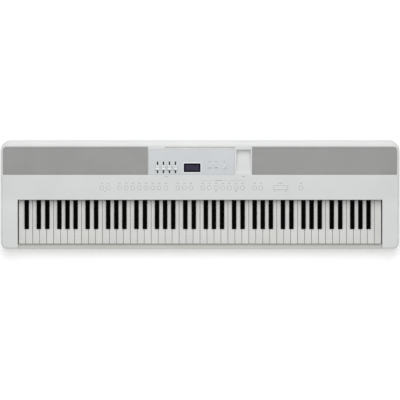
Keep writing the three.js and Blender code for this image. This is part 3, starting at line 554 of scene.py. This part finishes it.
# Painted light: the trough is coloured whiter than the case to stand in for light down in the slot.
trough_painted_light = moulded("trough_painted_light_plastic", (238, 239, 238), (243, 244, 243), 0.5)
placed("music_rest_trough", shape(block(slot_plan, trough_side)), trough_painted_light,
       "case", "case_white", "top_case")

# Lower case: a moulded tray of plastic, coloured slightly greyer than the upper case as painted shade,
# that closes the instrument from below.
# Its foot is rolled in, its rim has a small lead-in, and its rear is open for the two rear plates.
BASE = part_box("bottom_case")[0].z
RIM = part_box("bottom_case")[1].z
# Painted shade: the lower case's plastic is coloured greyer than the upper case's white.
lower_white = moulded("lower_case_shaded_plastic", (184, 185, 179), (190, 191, 186), 0.5)
plan = rounded(-SIDE, SIDE, FRONT, REAR, (FRONT_CORNER, FRONT_CORNER, REAR_CORNER, REAR_CORNER), 12)
lower_side = [*levels(BASE, RIM, 0.006, 0.0008), (-WALL, RIM), (-WALL, BASE + WALL)]
lower_case = made("lower_case", shape(block(plan, lower_side)), lower_white)
rear_gap = straight_up(-SIDE + REAR_CORNER, SIDE - REAR_CORNER, REAR - WALL - 0.001, REAR + 0.01,
                       BASE + WALL, RIM + 0.01)
SCREW_SEAT = BASE + 0.0016
BORE_RADIUS = 0.0055
screw_places = [(x, y) for x in np.linspace(-0.6, 0.6, 7) for y in (FRONT + 0.075, REAR - 0.075)]
counterbore = [(0.0, BASE - 0.01), (0.0, SCREW_SEAT)]
bores = [shape(block(disc(x, y, BORE_RADIUS, 24), counterbore)) for x, y in screw_places]
cut(lower_case, [rear_gap, *bores])
fitted(lower_case, "case", "lower_white", "bottom_case")

# Case screws: bright steel pan heads in the underside's counterbores, in two rows of seven. They are
# driven up from below and hold the two halves of the case together.
SCREW_RADIUS = 0.0036


def screw_head(x, y, z, radius):
    """A pan head seen from below: a disc whose rim is a quarter circle, with a six-pointed socket."""
    star = disc(x, y, radius * 0.5, 12)
    star = (x, y) + (star - (x, y)) * np.where(np.arange(12) % 2, 0.72, 1.0)[:, None]
    head = block(disc(x, y, radius, 24), levels(z - 0.0013, z, 0.0009))
    pit = block(star, [(0.0, z - 0.003), (0.0, z - 0.0006)])
    return shape(head), shape(pit)


steel = surface_of("bright_steel", {"Roughness": 0.34, "Metallic": 1.0})
coloured(steel, (40.0, 4.0), (150, 152, 156), (176, 178, 181))
glossed(steel, (300.0, 3.0, (1.0, 12.0, 1.0)), 0.28, 0.46)
heads = [screw_head(x, y, SCREW_SEAT, SCREW_RADIUS) for x, y in screw_places]
case_screws = made("case_screws", together([head for head, _ in heads]), steel)
cut(case_screws, [pit for _, pit in heads])
fitted(case_screws, "case", "steel")

# Feet: four round pads of black rubber under the lower case. Each is moulded with a turned-in edge
# and a shallow dish underneath.
rubber = surface_of("foot_rubber", {"Roughness": 0.85})
coloured(rubber, (30.0, 4.0), (33, 33, 33), (46, 45, 44))
textured(rubber, (1800.0, 2.0), 0.00006, 0.6)
for name in ("front_left", "front_right", "rear_left", "rear_right"):
    low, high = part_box("foot_" + name)
    radius = (high.x - low.x) / 2
    side = [(-0.008, low.z + 0.0012), (-0.005, low.z + 0.001), (-0.0035, low.z + 0.0002)]
    side += [*levels(low.z, high.z, 0.0022, 0.001)]
    pad = block(disc((low.x + high.x) / 2, (low.y + high.y) / 2, radius, 48), side)
    placed("rubber_foot_" + name, shape(pad), rubber, "case", "rubber", "foot_" + name)


# Rear plates: a long plain plate, and a short one with three round sockets and the power inlet.
# Both are flat mouldings that fill the lower case's open rear. Six steel screws hold the long one.
def facing_rear(outline, side, closed=True):
    """A block whose outline is seen from behind and whose heights run to the rear."""
    left, up, back = np.moveaxis(block(outline, side), -1, 0)
    return shape(np.stack([-left, back, up], -1), closed)


def rear_plate(name):
    """A plate between its node's ends, with small rounds on its outer face's edges."""
    low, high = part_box(name)
    outline = [(-high.x, low.z), (-low.x, low.z), (-low.x, high.z), (-high.x, high.z)]
    return made(name + "_moulding", facing_rear(outline, levels(low.y, high.y, 0.0, 0.0006)), lower_white)


JACK_Z = 0.029
JACK_HOLE = 0.0052
JACK_PITCH = 0.0235
FIRST_JACK = SIDE - 0.154
INLET_EXTRA = 0.0005
PLATE_SCREW_INSET = 0.02
PLATE_SINK, PLATE_HEAD = 0.0036, 0.003
jack_row = FIRST_JACK + JACK_PITCH * np.arange(4) + [0.0, 0.0, 0.0, INLET_EXTRA]
screw_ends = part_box("rear_panel")[0].x + PLATE_SCREW_INSET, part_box("rear_panel")[1].x - PLATE_SCREW_INSET
screw_row = np.linspace(*screw_ends, 6)
long_plate = rear_plate("rear_panel")
sink = [(0.0, REAR - 0.001), (0.0, REAR + 0.01)]
sinks = [facing_rear(disc(-x, JACK_Z, PLATE_SINK, 24), sink) for x in screw_row]
cut(long_plate, sinks)
fitted(long_plate, "case", "lower_white", "rear_panel")
jack_plate = rear_plate("jack_panel")
bore = [(0.0, REAR - 0.01), (0.0, REAR - 0.0006), (0.0006, REAR), (0.0006, REAR + 0.01)]
jack_bores = [facing_rear(disc(-x, JACK_Z, JACK_HOLE), bore) for x in jack_row]
cut(jack_plate, jack_bores)
fitted(jack_plate, "case", "lower_white", "jack_panel")
dark_plastic = moulded("black_socket_plastic", (24, 24, 25), (32, 32, 33), 0.45)


def collar(x, inner, outer, y0, y1):
    """A ring round a socket: up its outside, over a rounded lip, and down its inside."""
    outside = levels(y0, y1, 0.0, 0.0008) + (outer, 0.0)
    side = [*outside, (inner + 0.0006, y1), (inner, y1 - 0.0006), (inner, y0)]
    return facing_rear(disc(-x, JACK_Z, 1.0, 36), np.array(side) - (1.0, 0.0), closed=False)


collars = [collar(x, 0.0034, 0.0049, REAR - 0.006, REAR + 0.0006) for x in jack_row[:3]]
placed("socket_collars", together(collars), steel, "case", "steel")
inlet_ring = collar(jack_row[3], 0.0029, 0.0049, REAR - 0.006, REAR + 0.0004)
placed("power_inlet_collar", inlet_ring, dark_plastic, "case", "dark_plastic")
plate_head_side = levels(REAR - 0.001, REAR - 0.0001, 0.0, 0.0006)
plate_heads = [facing_rear(disc(-x, JACK_Z, PLATE_HEAD, 24), plate_head_side) for x in screw_row]
placed("rear_plate_screws", together(plate_heads), steel, "case", "steel")

# Key slip: the low rail in front of the keys, one straight moulding of white plastic between the
# cheeks, whose upper front edge is well rounded. Its plastic is coloured greyish as painted shade.
slip_low, slip_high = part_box("key_slip")
SLIP_TOP = slip_high.z
SLIP_GAP = 0.0007
KEY_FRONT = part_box("key_c4")[0].y
SLIP_REAR = KEY_FRONT - SLIP_GAP
# Painted shade: the slip is coloured greyish white for the shade it lies in below the keys.
slip_painted_shade = moulded("key_slip_painted_shade", (194, 195, 189), (199, 200, 195), 0.5)
crown = arc(FRONT + 0.0047, SLIP_TOP - 0.0045, 0.0045, 90, 180, 10)
slip_side = [(FRONT + 0.0002, slip_low.z), (SLIP_REAR, slip_low.z), (SLIP_REAR, SLIP_TOP - 0.0006),
             (SLIP_REAR - 0.0006, SLIP_TOP), *crown]
slip_form = across(slip_side, levels(slip_low.x, slip_high.x, 0.0006, 0.0006))
placed("key_slip_rail", slip_form, slip_painted_shade, "case", "lower_white", "key_slip")

# Natural keys: 52 hollow mouldings of satin ivory plastic, each a thin top sheet that stands just
# proud of a narrower body. The middle octave's keys pivot one by one, the others by the octave.
PITCH = 2 * KEYBOARD / 52
KEY_GAP = 0.001
KEY_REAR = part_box("key_c4")[1].y
KEY_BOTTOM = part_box("key_c4")[0].z
HEAD = 0.049
SHARP_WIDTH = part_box("key_c_sharp4")[1].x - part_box("key_c_sharp4")[0].x
SHARP_SLOT = SHARP_WIDTH + 0.0014
NOTES = "cdefgab"
key_ivory = moulded("ivory_key_plastic", (197, 197, 194), (202, 202, 200), 0.3, 0.002, 0.000008)


def group_places(naturals, sharps):
    """Where the sharps of a group of naturals sit: the naturals' tails share evenly what they leave."""
    tail = (naturals * PITCH - sharps * SHARP_SLOT) / naturals
    return np.arange(1, sharps + 1) * tail + (np.arange(sharps) + 0.5) * SHARP_SLOT


in_octave = dict(zip((0, 1, 3, 4, 5), [*group_places(3, 2), *(3 * PITCH + group_places(4, 3))]))


def natural_outline(left, tail_left, tail_right):
    """A natural from above: a wide head with small round corners, then a tail between the sharps."""
    x0, x1, y1, shoulder = left + KEY_GAP / 2, left + PITCH - KEY_GAP / 2, KEY_REAR, KEY_FRONT + HEAD
    nose = [*arc(x0 + 0.0012, KEY_FRONT + 0.0012, 0.0012, 180, 270, 5),
            *arc(x1 - 0.0012, KEY_FRONT + 0.0012, 0.0012, 270, 360, 5)]
    right = [(x1, shoulder), (tail_right, shoulder)] if tail_right < x1 - 1e-6 else []
    left_side = [(tail_left, shoulder), (x0, shoulder)] if tail_left > x0 + 1e-6 else []
    return [*nose, *right, (tail_right, y1), (tail_left, y1), *left_side]


SHEET = 0.0028
key_side = [(-0.0005, KEY_BOTTOM), (-0.0005, KEY_TOP - SHEET), (-0.0001, KEY_TOP - SHEET),
            *levels(KEY_TOP - SHEET + 0.0002, KEY_TOP, 0.0, 0.0009, 5)]


def key_home(octave, colour, note):
    """The CAD node that a key stands for, and the body it rides on, from its octave and note."""
    if octave == 4:
        return "key_" + note + "4"
    return colour + "_keys_octave_" + str(min(max(octave, 1), 7))


sharp_places = []
for i in range(52):
    step, octave = (i + 5) % 7, (i + 5) // 7
    left = -KEYBOARD + i * PITCH
    start = left - step * PITCH
    has_left, has_right = step - 1 in in_octave and i > 0, step in in_octave and i < 51
    tail_left = start + in_octave[step - 1] + SHARP_SLOT / 2 if has_left else left + KEY_GAP / 2
    tail_right = start + in_octave[step] - SHARP_SLOT / 2 if has_right else left + PITCH - KEY_GAP / 2
    rings = block(natural_outline(left, tail_left, tail_right), key_side)
    home = key_home(octave, "white", NOTES[step])
    placed("natural_" + NOTES[step] + str(octave), shape(rings), key_ivory,
           home, "natural_keys", home, crisp=25.0)
    if has_right:
        sharp_places.append((octave, NOTES[step], start + in_octave[step]))

# Sharp keys: 36 matt black mouldings, each an upright stem under a cap that leans in on both sides,
# with rounded shoulders and a nose that slopes up from the naturals.
SHARP_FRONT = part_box("key_c_sharp4")[0].y
SHARP_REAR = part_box("key_c_sharp4")[1].y
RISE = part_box("key_c_sharp4")[1].z - KEY_TOP
NOSE = 0.007
LEAN = 0.00185
SHOULDER = 0.0016
key_black = moulded("black_key_plastic", (2, 2, 2), (4, 4, 4), 0.5, 0.0011, 0.00003, 0.01)


def sharp_rings(x):
    """Rings along a sharp, front to rear. The cap's height climbs the nose, stays level and drops
    inside the case; the half width shrinks by the lean as it rises, and by a quarter circle at
    the nose; each shoulder is a quarter circle."""
    near = [0.0, 0.0002, 0.0006, 0.0012, 0.002, 0.0035, 0.005, 0.006, 0.007, 0.008, 0.0095]
    inside = DECK_Y + np.array([0.013, 0.0131])
    level = np.linspace(SHARP_FRONT + 0.02, inside[0] - 0.01, 8)
    y = np.concatenate([SHARP_FRONT + np.array(near), level, inside, [SHARP_REAR]])
    climb = (RISE - 0.001) / NOSE
    top = np.maximum(KEY_TOP + RISE + softened(y, SHARP_FRONT + NOSE, climb, 0.0, 0.0022), KEY_TOP + 0.001)
    top = np.where(y > inside[0], KEY_TOP, top)
    depth = np.clip(y - SHARP_FRONT, 0.0, 0.002)
    tuck = 0.002 - np.sqrt(0.002**2 - (0.002 - depth) ** 2)
    shoulder = np.minimum(SHOULDER, 0.7 * (top - KEY_TOP))
    half = SHARP_WIDTH / 2 - tuck
    upper = half - LEAN * (top - KEY_TOP) / RISE
    turn = np.radians(np.linspace(90.0, 0.0, 6))
    across_x = (upper - shoulder)[:, None] + shoulder[:, None] * np.cos(turn)
    up_z = (top - shoulder)[:, None] + shoulder[:, None] * np.sin(turn)
    right_x = np.column_stack([across_x, half, half])
    right_z = np.column_stack([up_z, np.full(len(y), KEY_TOP - 0.0002), np.full(len(y), KEY_BOTTOM)])
    ring_x = x + np.concatenate([right_x, -right_x[:, ::-1]], 1)
    ring_z = np.concatenate([right_z, right_z[:, ::-1]], 1)
    return np.stack([ring_x, np.broadcast_to(y[:, None], ring_x.shape), ring_z], -1)


for octave, note, x in sharp_places:
    home = key_home(octave, "black", note + "_sharp")
    placed("sharp_" + note + str(octave), shape(sharp_rings(x)), key_black,
           home, "sharp_keys", home, crisp=35.0)


# Loudspeaker grilles: a flat plastic frame round a fine square mesh, painted grey, over black
# acoustic cloth. They lie flush in their openings.
def mesh_sheet(x_lines, y_lines, is_open, bottom, top):
    """A flat sheet with square openings: top, bottom and walls of each cell between two sets of
    lines that isn't open, with a wall only where its neighbour is open or missing."""
    flat_x, flat_y = np.meshgrid(x_lines, y_lines, indexing="ij")
    plan = np.stack([flat_x, flat_y], -1).reshape(-1, 2)
    points = np.concatenate([np.column_stack([plan, np.full(len(plan), z)]) for z in (bottom, top)])
    low = np.arange(len(plan)).reshape(flat_x.shape)
    high = low + len(plan)
    solid = ~is_open
    around = np.pad(solid, 1)
    corners = {"a": (slice(None, -1), slice(None, -1)), "b": (slice(1, None), slice(None, -1)),
               "c": (slice(1, None), slice(1, None)), "d": (slice(None, -1), slice(1, None))}
    below = {name: low[where][solid] for name, where in corners.items()}
    above = {name: high[where][solid] for name, where in corners.items()}
    faces = [np.stack([above[c] for c in "abcd"], -1), np.stack([below[c] for c in "adcb"], -1)]
    sides = {"ab": around[1:-1, :-2], "bc": around[2:, 1:-1], "cd": around[1:-1, 2:], "da": around[:-2, 1:-1]}
    for (first, second), neighbour in sides.items():
        bare = ~neighbour[solid]
        wall = [below[first], below[second], above[second], above[first]]
        faces.append(np.stack([corner[bare] for corner in wall], -1))
    faces = np.concatenate(faces)
    used, faces = np.unique(faces, return_inverse=True)
    return points[used], faces.reshape(-1, 4)


MESH_PITCH = 0.0025
MESH_HOLE = 0.0015
FRAME = 0.005
grille_paint = moulded("grille_paint", (175, 175, 174), (180, 180, 179), 0.6, 0.0004)
frame_paint = moulded("grille_frame_plastic", (146, 146, 145), (152, 152, 151), 0.6, 0.0004)
cloth = surface_of("acoustic_cloth", {"Roughness": 0.95})
coloured(cloth, (900.0, 3.0), (38, 38, 38), (56, 56, 56))
textured(cloth, (2200.0, 1.0, (1.0, 2.0, 1.0)), 0.0001, 0.8)


def bars(start, end):
    """Lines across a mesh: the two edges of every hole, at an even pitch, between the mesh's ends."""
    count = int((end - start) / MESH_PITCH)
    first = (start + end - (count - 1) * MESH_PITCH) / 2 + MESH_PITCH * np.arange(count)
    edges = np.column_stack([first - MESH_HOLE / 2, first + MESH_HOLE / 2]).ravel()
    return np.concatenate([[start], edges, [end]])


for name, hand in HANDS.items():
    node = "speaker_grille_" + name
    outline = grille_plan(hand, -0.0004)
    side = [*levels(-0.0022, 0.0, 0.0, 0.0006), (-FRAME + 0.0004, 0.0), (-FRAME, -0.0004), (-FRAME, -0.0022)]
    placed("grille_frame_" + name, in_deck(outline, side, closed=False), frame_paint,
           "case", "grille_grey", node)
    ends = sorted((hand * (GRILLE_INNER + FRAME - 0.001), hand * (GRILLE_OUTER - FRAME + 0.001)))
    x_lines, y_lines = bars(*ends), bars(GRILLE_U[0] + FRAME - 0.001, GRILLE_U[1] - FRAME + 0.001)
    odd_x, odd_y = np.arange(len(x_lines) - 1) % 2 == 1, np.arange(len(y_lines) - 1) % 2 == 1
    points, faces = mesh_sheet(x_lines, y_lines, np.outer(odd_x, odd_y), -0.0015, -0.0004)
    placed("grille_mesh_" + name, (on_deck(points), faces.tolist()), grille_paint,
           "case", "grille_grey", node)
    backing = in_deck(grille_plan(hand, -0.0008), [(0.0, -0.0027), (0.0, -0.0024)])
    placed("acoustic_cloth_" + name, backing, cloth, "case", "dark_plastic", node)


# Loudspeakers: a pressed basket with a paper cone, a rolled surround and a dust cap, turned about
# one axis. Each hangs under its grille's tray, square to the deck.
SPEAKER_SEAT = -GRILLE_DEPTH - 0.0031
SPEAKER_RADIUS = (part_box("speaker_right")[1].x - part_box("speaker_right")[0].x) / 2
paper = moulded("speaker_paper", (30, 30, 31), (44, 43, 43), 0.85, 0.0009, 0.00008)


def speaker_side():
    """A loudspeaker turned about its axis, from the magnet up the basket and down the cone, as
    (radius, height): the surround is a half circle and the dust cap a shallow dome."""
    basket = [(0.022, -0.044), (0.022, -0.0264), (0.035, -0.004), (SPEAKER_RADIUS, -0.004),
              (SPEAKER_RADIUS, 0.0)]
    roll = np.radians(np.linspace(0.0, 180.0, 9))
    surround = np.column_stack([0.0315 + 0.0032 * np.cos(roll), -0.0035 + 0.0026 * np.sin(roll)])
    cone = [(0.020, -0.0125), (0.012, -0.0165)]
    dome = np.radians(np.linspace(10.0, 85.0, 6))
    cap = np.column_stack([0.012 * np.cos(dome), -0.0165 + 0.005 * np.sin(dome)])
    return np.concatenate([basket, surround, cone, cap])


for name, hand in HANDS.items():
    side = speaker_side() - (1.0, 0.0)
    rings = block(disc(hand * SPEAKER_X, SPEAKER_U, 1.0, 48), side) + (0.0, 0.0, SPEAKER_SEAT)
    placed("loudspeaker_" + name, shape(on_deck(rings)), paper,
           "case", "dark_plastic", "speaker_" + name, crisp=40.0)

# Deck buttons: round caps of the case's plastic, slightly dished, moulded in strips on thin
# carriers that flex under the deck. The power button is a strip of one.
BUTTON_TOP = 0.0016
button_white = moulded("button_plastic", (207, 209, 208), (212, 214, 213), 0.36)


def cap_side(radius, bottom, top, dish):
    """A cap from its foot up, over a quarter-circle rim, and in along a dish as deep as 1 - (r/R)^2."""
    inward = np.array([0.8, 0.6, 0.4, 0.2, 0.08])
    hollow = np.column_stack([radius * (inward - 1), top - dish * (1 - (inward / 0.92) ** 2)])
    return np.concatenate([levels(bottom, top, 0.0, 0.0007), hollow])


for name, row in places.items():
    low, high = min(row) - STRIP_REACH, max(row) + STRIP_REACH
    carrier = rounded(low, high, BUTTON_U - STRIP_REACH, BUTTON_U + STRIP_REACH, (0.003,) * 4)
    solids = [in_deck(carrier, levels(-0.0045, -0.0033))]
    cap_steps = cap_side(BUTTON_RADIUS, -0.0034, BUTTON_TOP, 0.0003)
    solids += [in_deck(disc(x, BUTTON_U, BUTTON_RADIUS, 48), cap_steps) for x in row]
    node = "power_button" if name == "power" else "button_strip_" + name
    placed(name + "_buttons", together(solids), button_white, node, "button_white", node, crisp=35.0)

# Transpose rocker: a long cap that tips about its middle, with a shallow valley there for a finger
# to find, on a foot that reaches down to the panel board.
ROCKER_X = middle_x("transpose_rocker")
rocker_side = [*levels(BUTTON_TOP - 0.005, BUTTON_TOP, 0.0, 0.0009), (-0.003, BUTTON_TOP - 0.0002),
               (-0.0065, BUTTON_TOP - 0.0003)]
foot_plan = centred(ROCKER_X, BUTTON_U, 0.0015, 0.005, 0.0)
rocker_form = together([in_deck(pill(0.0), rocker_side), in_deck(foot_plan, [(0.0, -0.0059), (0.0, 0.0)])])
placed("transpose_rocker_cap", rocker_form, button_white,
       "transpose_rocker", "button_white", "transpose_rocker", crisp=35.0)

# Control panel: a thin plate of cool grey plastic set flush in the deck, with slots for four
# sliders and openings for the display and three small buttons.
PANEL_DEPTH = 0.0025
SLIDER_U = up_deck(0.274)
DISPLAY_U = up_deck(0.273)
SLIDER_SLOT = (0.0022, 0.0205)
panel_plastic = moulded("panel_plastic", (193, 197, 199), (199, 203, 205), 0.4)
slider_names = ["slider_cap_" + str(i) for i in range(1, 5)]
slider_row = [middle_x(name) for name in slider_names]
display_low, display_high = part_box("display_window")
DISPLAY_HALF = 0.0154
DISPLAY_FIT = 0.0003
MENU_FIT = 0.0004
MENU_U = up_deck(0.275)
menu_nodes = {"page_back_button": (0.006, 0.004), "page_next_button": (0.006, 0.004),
              "enter_button": (0.0065, 0.0065)}
menu_row = {name: middle_x(name) for name in menu_nodes}
openings = [(x - SLIDER_SLOT[0], x + SLIDER_SLOT[0], SLIDER_U - SLIDER_SLOT[1], SLIDER_U + SLIDER_SLOT[1])
            for x in slider_row]
openings.append((display_low.x - DISPLAY_FIT, display_high.x + DISPLAY_FIT,
                 DISPLAY_U - DISPLAY_HALF - DISPLAY_FIT, DISPLAY_U + DISPLAY_HALF + DISPLAY_FIT))
openings += [(menu_row[name] - half_x - MENU_FIT, menu_row[name] + half_x + MENU_FIT,
              MENU_U - half_u - MENU_FIT, MENU_U + half_u + MENU_FIT)
             for name, (half_x, half_u) in menu_nodes.items()]


def plate_with(openings, x0, x1, y0, y1, bottom, top):
    """A plate whose grid lines are its own edges and those of its rectangular openings."""
    x_lines = np.unique(np.array([x0, x1] + [edge for box in openings for edge in box[:2]]))
    y_lines = np.unique(np.array([y0, y1] + [edge for box in openings for edge in box[2:]]))
    middles = [(lines[:-1] + lines[1:]) / 2 for lines in (x_lines, y_lines)]
    mid_x, mid_y = np.meshgrid(*middles, indexing="ij")
    is_open = np.zeros(mid_x.shape, bool)
    for left, right, near, far in openings:
        is_open |= (mid_x > left) & (mid_x < right) & (mid_y > near) & (mid_y < far)
    points, faces = mesh_sheet(x_lines, y_lines, is_open, bottom, top)
    return on_deck(points), faces.tolist()


PANEL_FIT = 0.0003
panel_form = plate_with(openings, PANEL_X[0] + PANEL_FIT, PANEL_X[1] - PANEL_FIT, PANEL_U[0] + PANEL_FIT,
                        PANEL_U[1] - PANEL_FIT, -PANEL_DEPTH, 0.0)
panel = made("control_panel_plate", panel_form, panel_plastic)
softening = panel.modifiers.new("edge_rounds", "BEVEL")
softening.width = 0.0003
softening.segments = 2
softening.limit_method = "ANGLE"
fitted(panel, "case", "panel_grey", "control_panel")

# Slider felts: strips of black felt under the panel's slots that keep dust out. The sliders' stems
# stop just above them.
felt = surface_of("slider_felt", {"Roughness": 0.95})
coloured(felt, (700.0, 3.0), (12, 12, 13), (22, 22, 23))
FELT = (0.004, 0.0225)
felts = [in_deck(centred(x, SLIDER_U, *FELT, 0.001), levels(-0.00305, -0.00285)) for x in slider_row]
placed("slider_felts", together(felts), felt, "case", "dark_plastic")


# Slider caps: small white caps with a raised front and rear edge and a finger groove between,
# moulded in one with stems that run in the panel's slots.
def slider_cap_side(u):
    """A slider's cap from the side: two rounded crests and between them a groove, a cosine 1.6 mm deep."""
    half, height = 0.0085, 0.006
    top_u = np.linspace(-half + 0.0014, half - 0.0014, 17)[::-1]
    groove = 0.0008 * (1 + np.cos(np.clip(top_u / 0.0052, -1.0, 1.0) * math.pi))
    fall = 0.0006 * (top_u / half) ** 4
    top = np.column_stack([u + top_u, height - groove - fall])
    front = arc(u - half + 0.0012, height - 0.0021, 0.0012, 130, 180, 4)
    back = arc(u + half - 0.0012, height - 0.0021, 0.0012, 0, 50, 4)
    return np.concatenate([[(u - half, 0.0004), (u + half, 0.0004)], back, top, front])


STEM = (0.0015, 0.003)
CAP_HALF = 0.0065
for name, x in zip(slider_names, slider_row):
    cap_rings = block(slider_cap_side(SLIDER_U), levels(-CAP_HALF, CAP_HALF, 0.0008, 0.0008))
    along, out, place = np.moveaxis(cap_rings, -1, 0)
    cap = shape(on_deck(np.stack([x + place, along, out], -1)))
    stem = in_deck(centred(x, SLIDER_U, *STEM, 0.0005), levels(-0.0027, 0.0012))
    placed("slider_" + name[-1] + "_cap", together([cap, stem]), button_white,
           name, "button_white", name, crisp=40.0)

# Display: a thin white bezel on the panel round a window of dark polished plastic. The blank glass
# of the screen stands a hair proud in the middle of it.
BEZEL = 0.0035
SCREEN_INSET = 0.006


def display_plan(grow, corner):
    """The display's outline, moved out all round, or in where grow is negative."""
    return rounded(display_low.x - grow, display_high.x + grow, DISPLAY_U - DISPLAY_HALF - grow,
                   DISPLAY_U + DISPLAY_HALF + grow, (corner,) * 4)


bezel_side = [*levels(0.0, 0.0007, 0.0, 0.0004), (-0.0036, 0.0005), (-0.0038, 0.0)]
bezel_white = moulded("bezel_print", (218, 220, 224), (223, 225, 228), 0.35)
placed("display_bezel", in_deck(display_plan(BEZEL, 0.002), bezel_side, closed=False), bezel_white,
       "case", "panel_grey", "display_window")
window_glass = surface_of("display_window", {"Roughness": 0.12, "Specular IOR Level": 0.1})
coloured(window_glass, (25.0, 2.0), (6, 5, 10), (8, 7, 13))
glossed(window_glass, (90.0, 3.0), 0.09, 0.17)
window_form = in_deck(display_plan(0.0, 0.0004), levels(-PANEL_DEPTH, -0.0002, 0.0, 0.0003))
placed("display_glass", window_form, window_glass, "case", "display", "display_window")
screen_glass = surface_of("screen_glass", {"Roughness": 0.2, "Specular IOR Level": 0.2})
coloured(screen_glass, (60.0, 2.0), (43, 41, 59), (48, 46, 66))
glossed(screen_glass, (120.0, 3.0), 0.15, 0.25)
screen_form = in_deck(display_plan(-SCREEN_INSET, 0.0006), levels(-0.0006, -0.00012, 0.0, 0.00004))
placed("display_screen", screen_form, screen_glass, "case", "display", "display_window")

# Menu buttons: two small page keys and a larger square one, each a pillowed cap over a flange that
# the panel holds down.
FLANGE = 0.0015
pillow = [*levels(-0.0035, 0.001, 0.0, 0.0006), (-0.0014, 0.00115), (-0.0026, 0.0012)]
for name, (half_x, half_u) in menu_nodes.items():
    cap_plan = centred(menu_row[name], MENU_U, half_x, half_u, 0.0012)
    flange_plan = centred(menu_row[name], MENU_U, half_x + FLANGE, half_u + FLANGE, 0.001)
    solids = [in_deck(cap_plan, pillow), in_deck(flange_plan, levels(-0.004, -0.0028))]
    placed(name + "_cap", together(solids), bezel_white, name, "button_white", name, crisp=35.0)


# Printed marks: plain grey bars in place of the words by the controls, screen-printed in one ink on
# the deck and the panel.
def printed(x, distance, length, width=0.0013):
    """A bar of ink on the deck, a twentieth of a millimetre thick, centred on a point."""
    outline = centred(x, up_deck(distance), length / 2, width / 2, width * 0.3, 3)
    return in_deck(outline, [(0.0, -0.0002), (0.0, 0.00005)])


ink = surface_of("printed_grey", {"Roughness": 0.6})
coloured(ink, (400.0, 3.0), (120, 121, 121), (134, 135, 135))
BELOW, ABOVE, BRACKET, UNDER_PANEL, OVER_MENU = 0.194, 0.221, 0.2305, 0.243, 0.293
BRACKET_GAP = 0.015
ROCKER_MARK = 0.019
marks = [printed(x, ABOVE, 0.0078) for row in places.values() for x in row]
marks += [printed(ROCKER_X, ABOVE, 0.014)]
marks += [printed(ROCKER_X + hand * ROCKER_MARK, BELOW, 0.005) for hand in HANDS.values()]
first, last = places["memory"][0] - 0.009, places["memory"][-1] + 0.005
middle = (first + last) / 2 - 0.012
near_end, far_start = middle - BRACKET_GAP, middle + BRACKET_GAP
marks += [printed((first + near_end) / 2, BRACKET, near_end - first, 0.0004),
          printed((last + far_start) / 2, BRACKET, last - far_start, 0.0004),
          printed(middle, BRACKET, 0.022)]
marks += [printed(np.mean(places["functions"]), BELOW, 0.007), printed(-0.113, UNDER_PANEL, 0.011),
          printed(np.mean(RECESS_X), UNDER_PANEL, 0.011)]
marks += [printed(x, BELOW, 0.0065) for x in places["memory"][[2, 5]]]
marks += [printed(x, OVER_MENU, 0.0085) for x in menu_row.values()]
placed("printed_marks", together(marks), ink, "case", "dark_plastic")

# Inside: two green circuit boards and the key contact board, the folded steel key chassis, the
# display module and the socket board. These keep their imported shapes, and take real finishes here.
solder_mask = surface_of("solder_mask", {"Roughness": 0.35})
traces = (130.0, 2.0, (1.0, 0.35, 1.0))
coloured(solder_mask, traces, (24, 84, 48), (47, 118, 72), 0.46, 0.54)
glossed(solder_mask, (200.0, 3.0), 0.3, 0.5)
zinc = surface_of("zinc_plated_steel", {"Roughness": 0.45, "Metallic": 1.0})
coloured(zinc, (22.0, 5.0), (140, 143, 146), (168, 170, 171))
glossed(zinc, (80.0, 4.0), 0.36, 0.58)
inside_finishes = {**dict.fromkeys(("panel_board", "main_board", "key_contact_board"), solder_mask),
                   "key_chassis": zinc, "usb_socket": steel, "display_module": dark_plastic,
                   "jack_board": dark_plastic}
for node, finish in inside_finishes.items():
    frame["nodes"][node].material_slots[0].material = finish
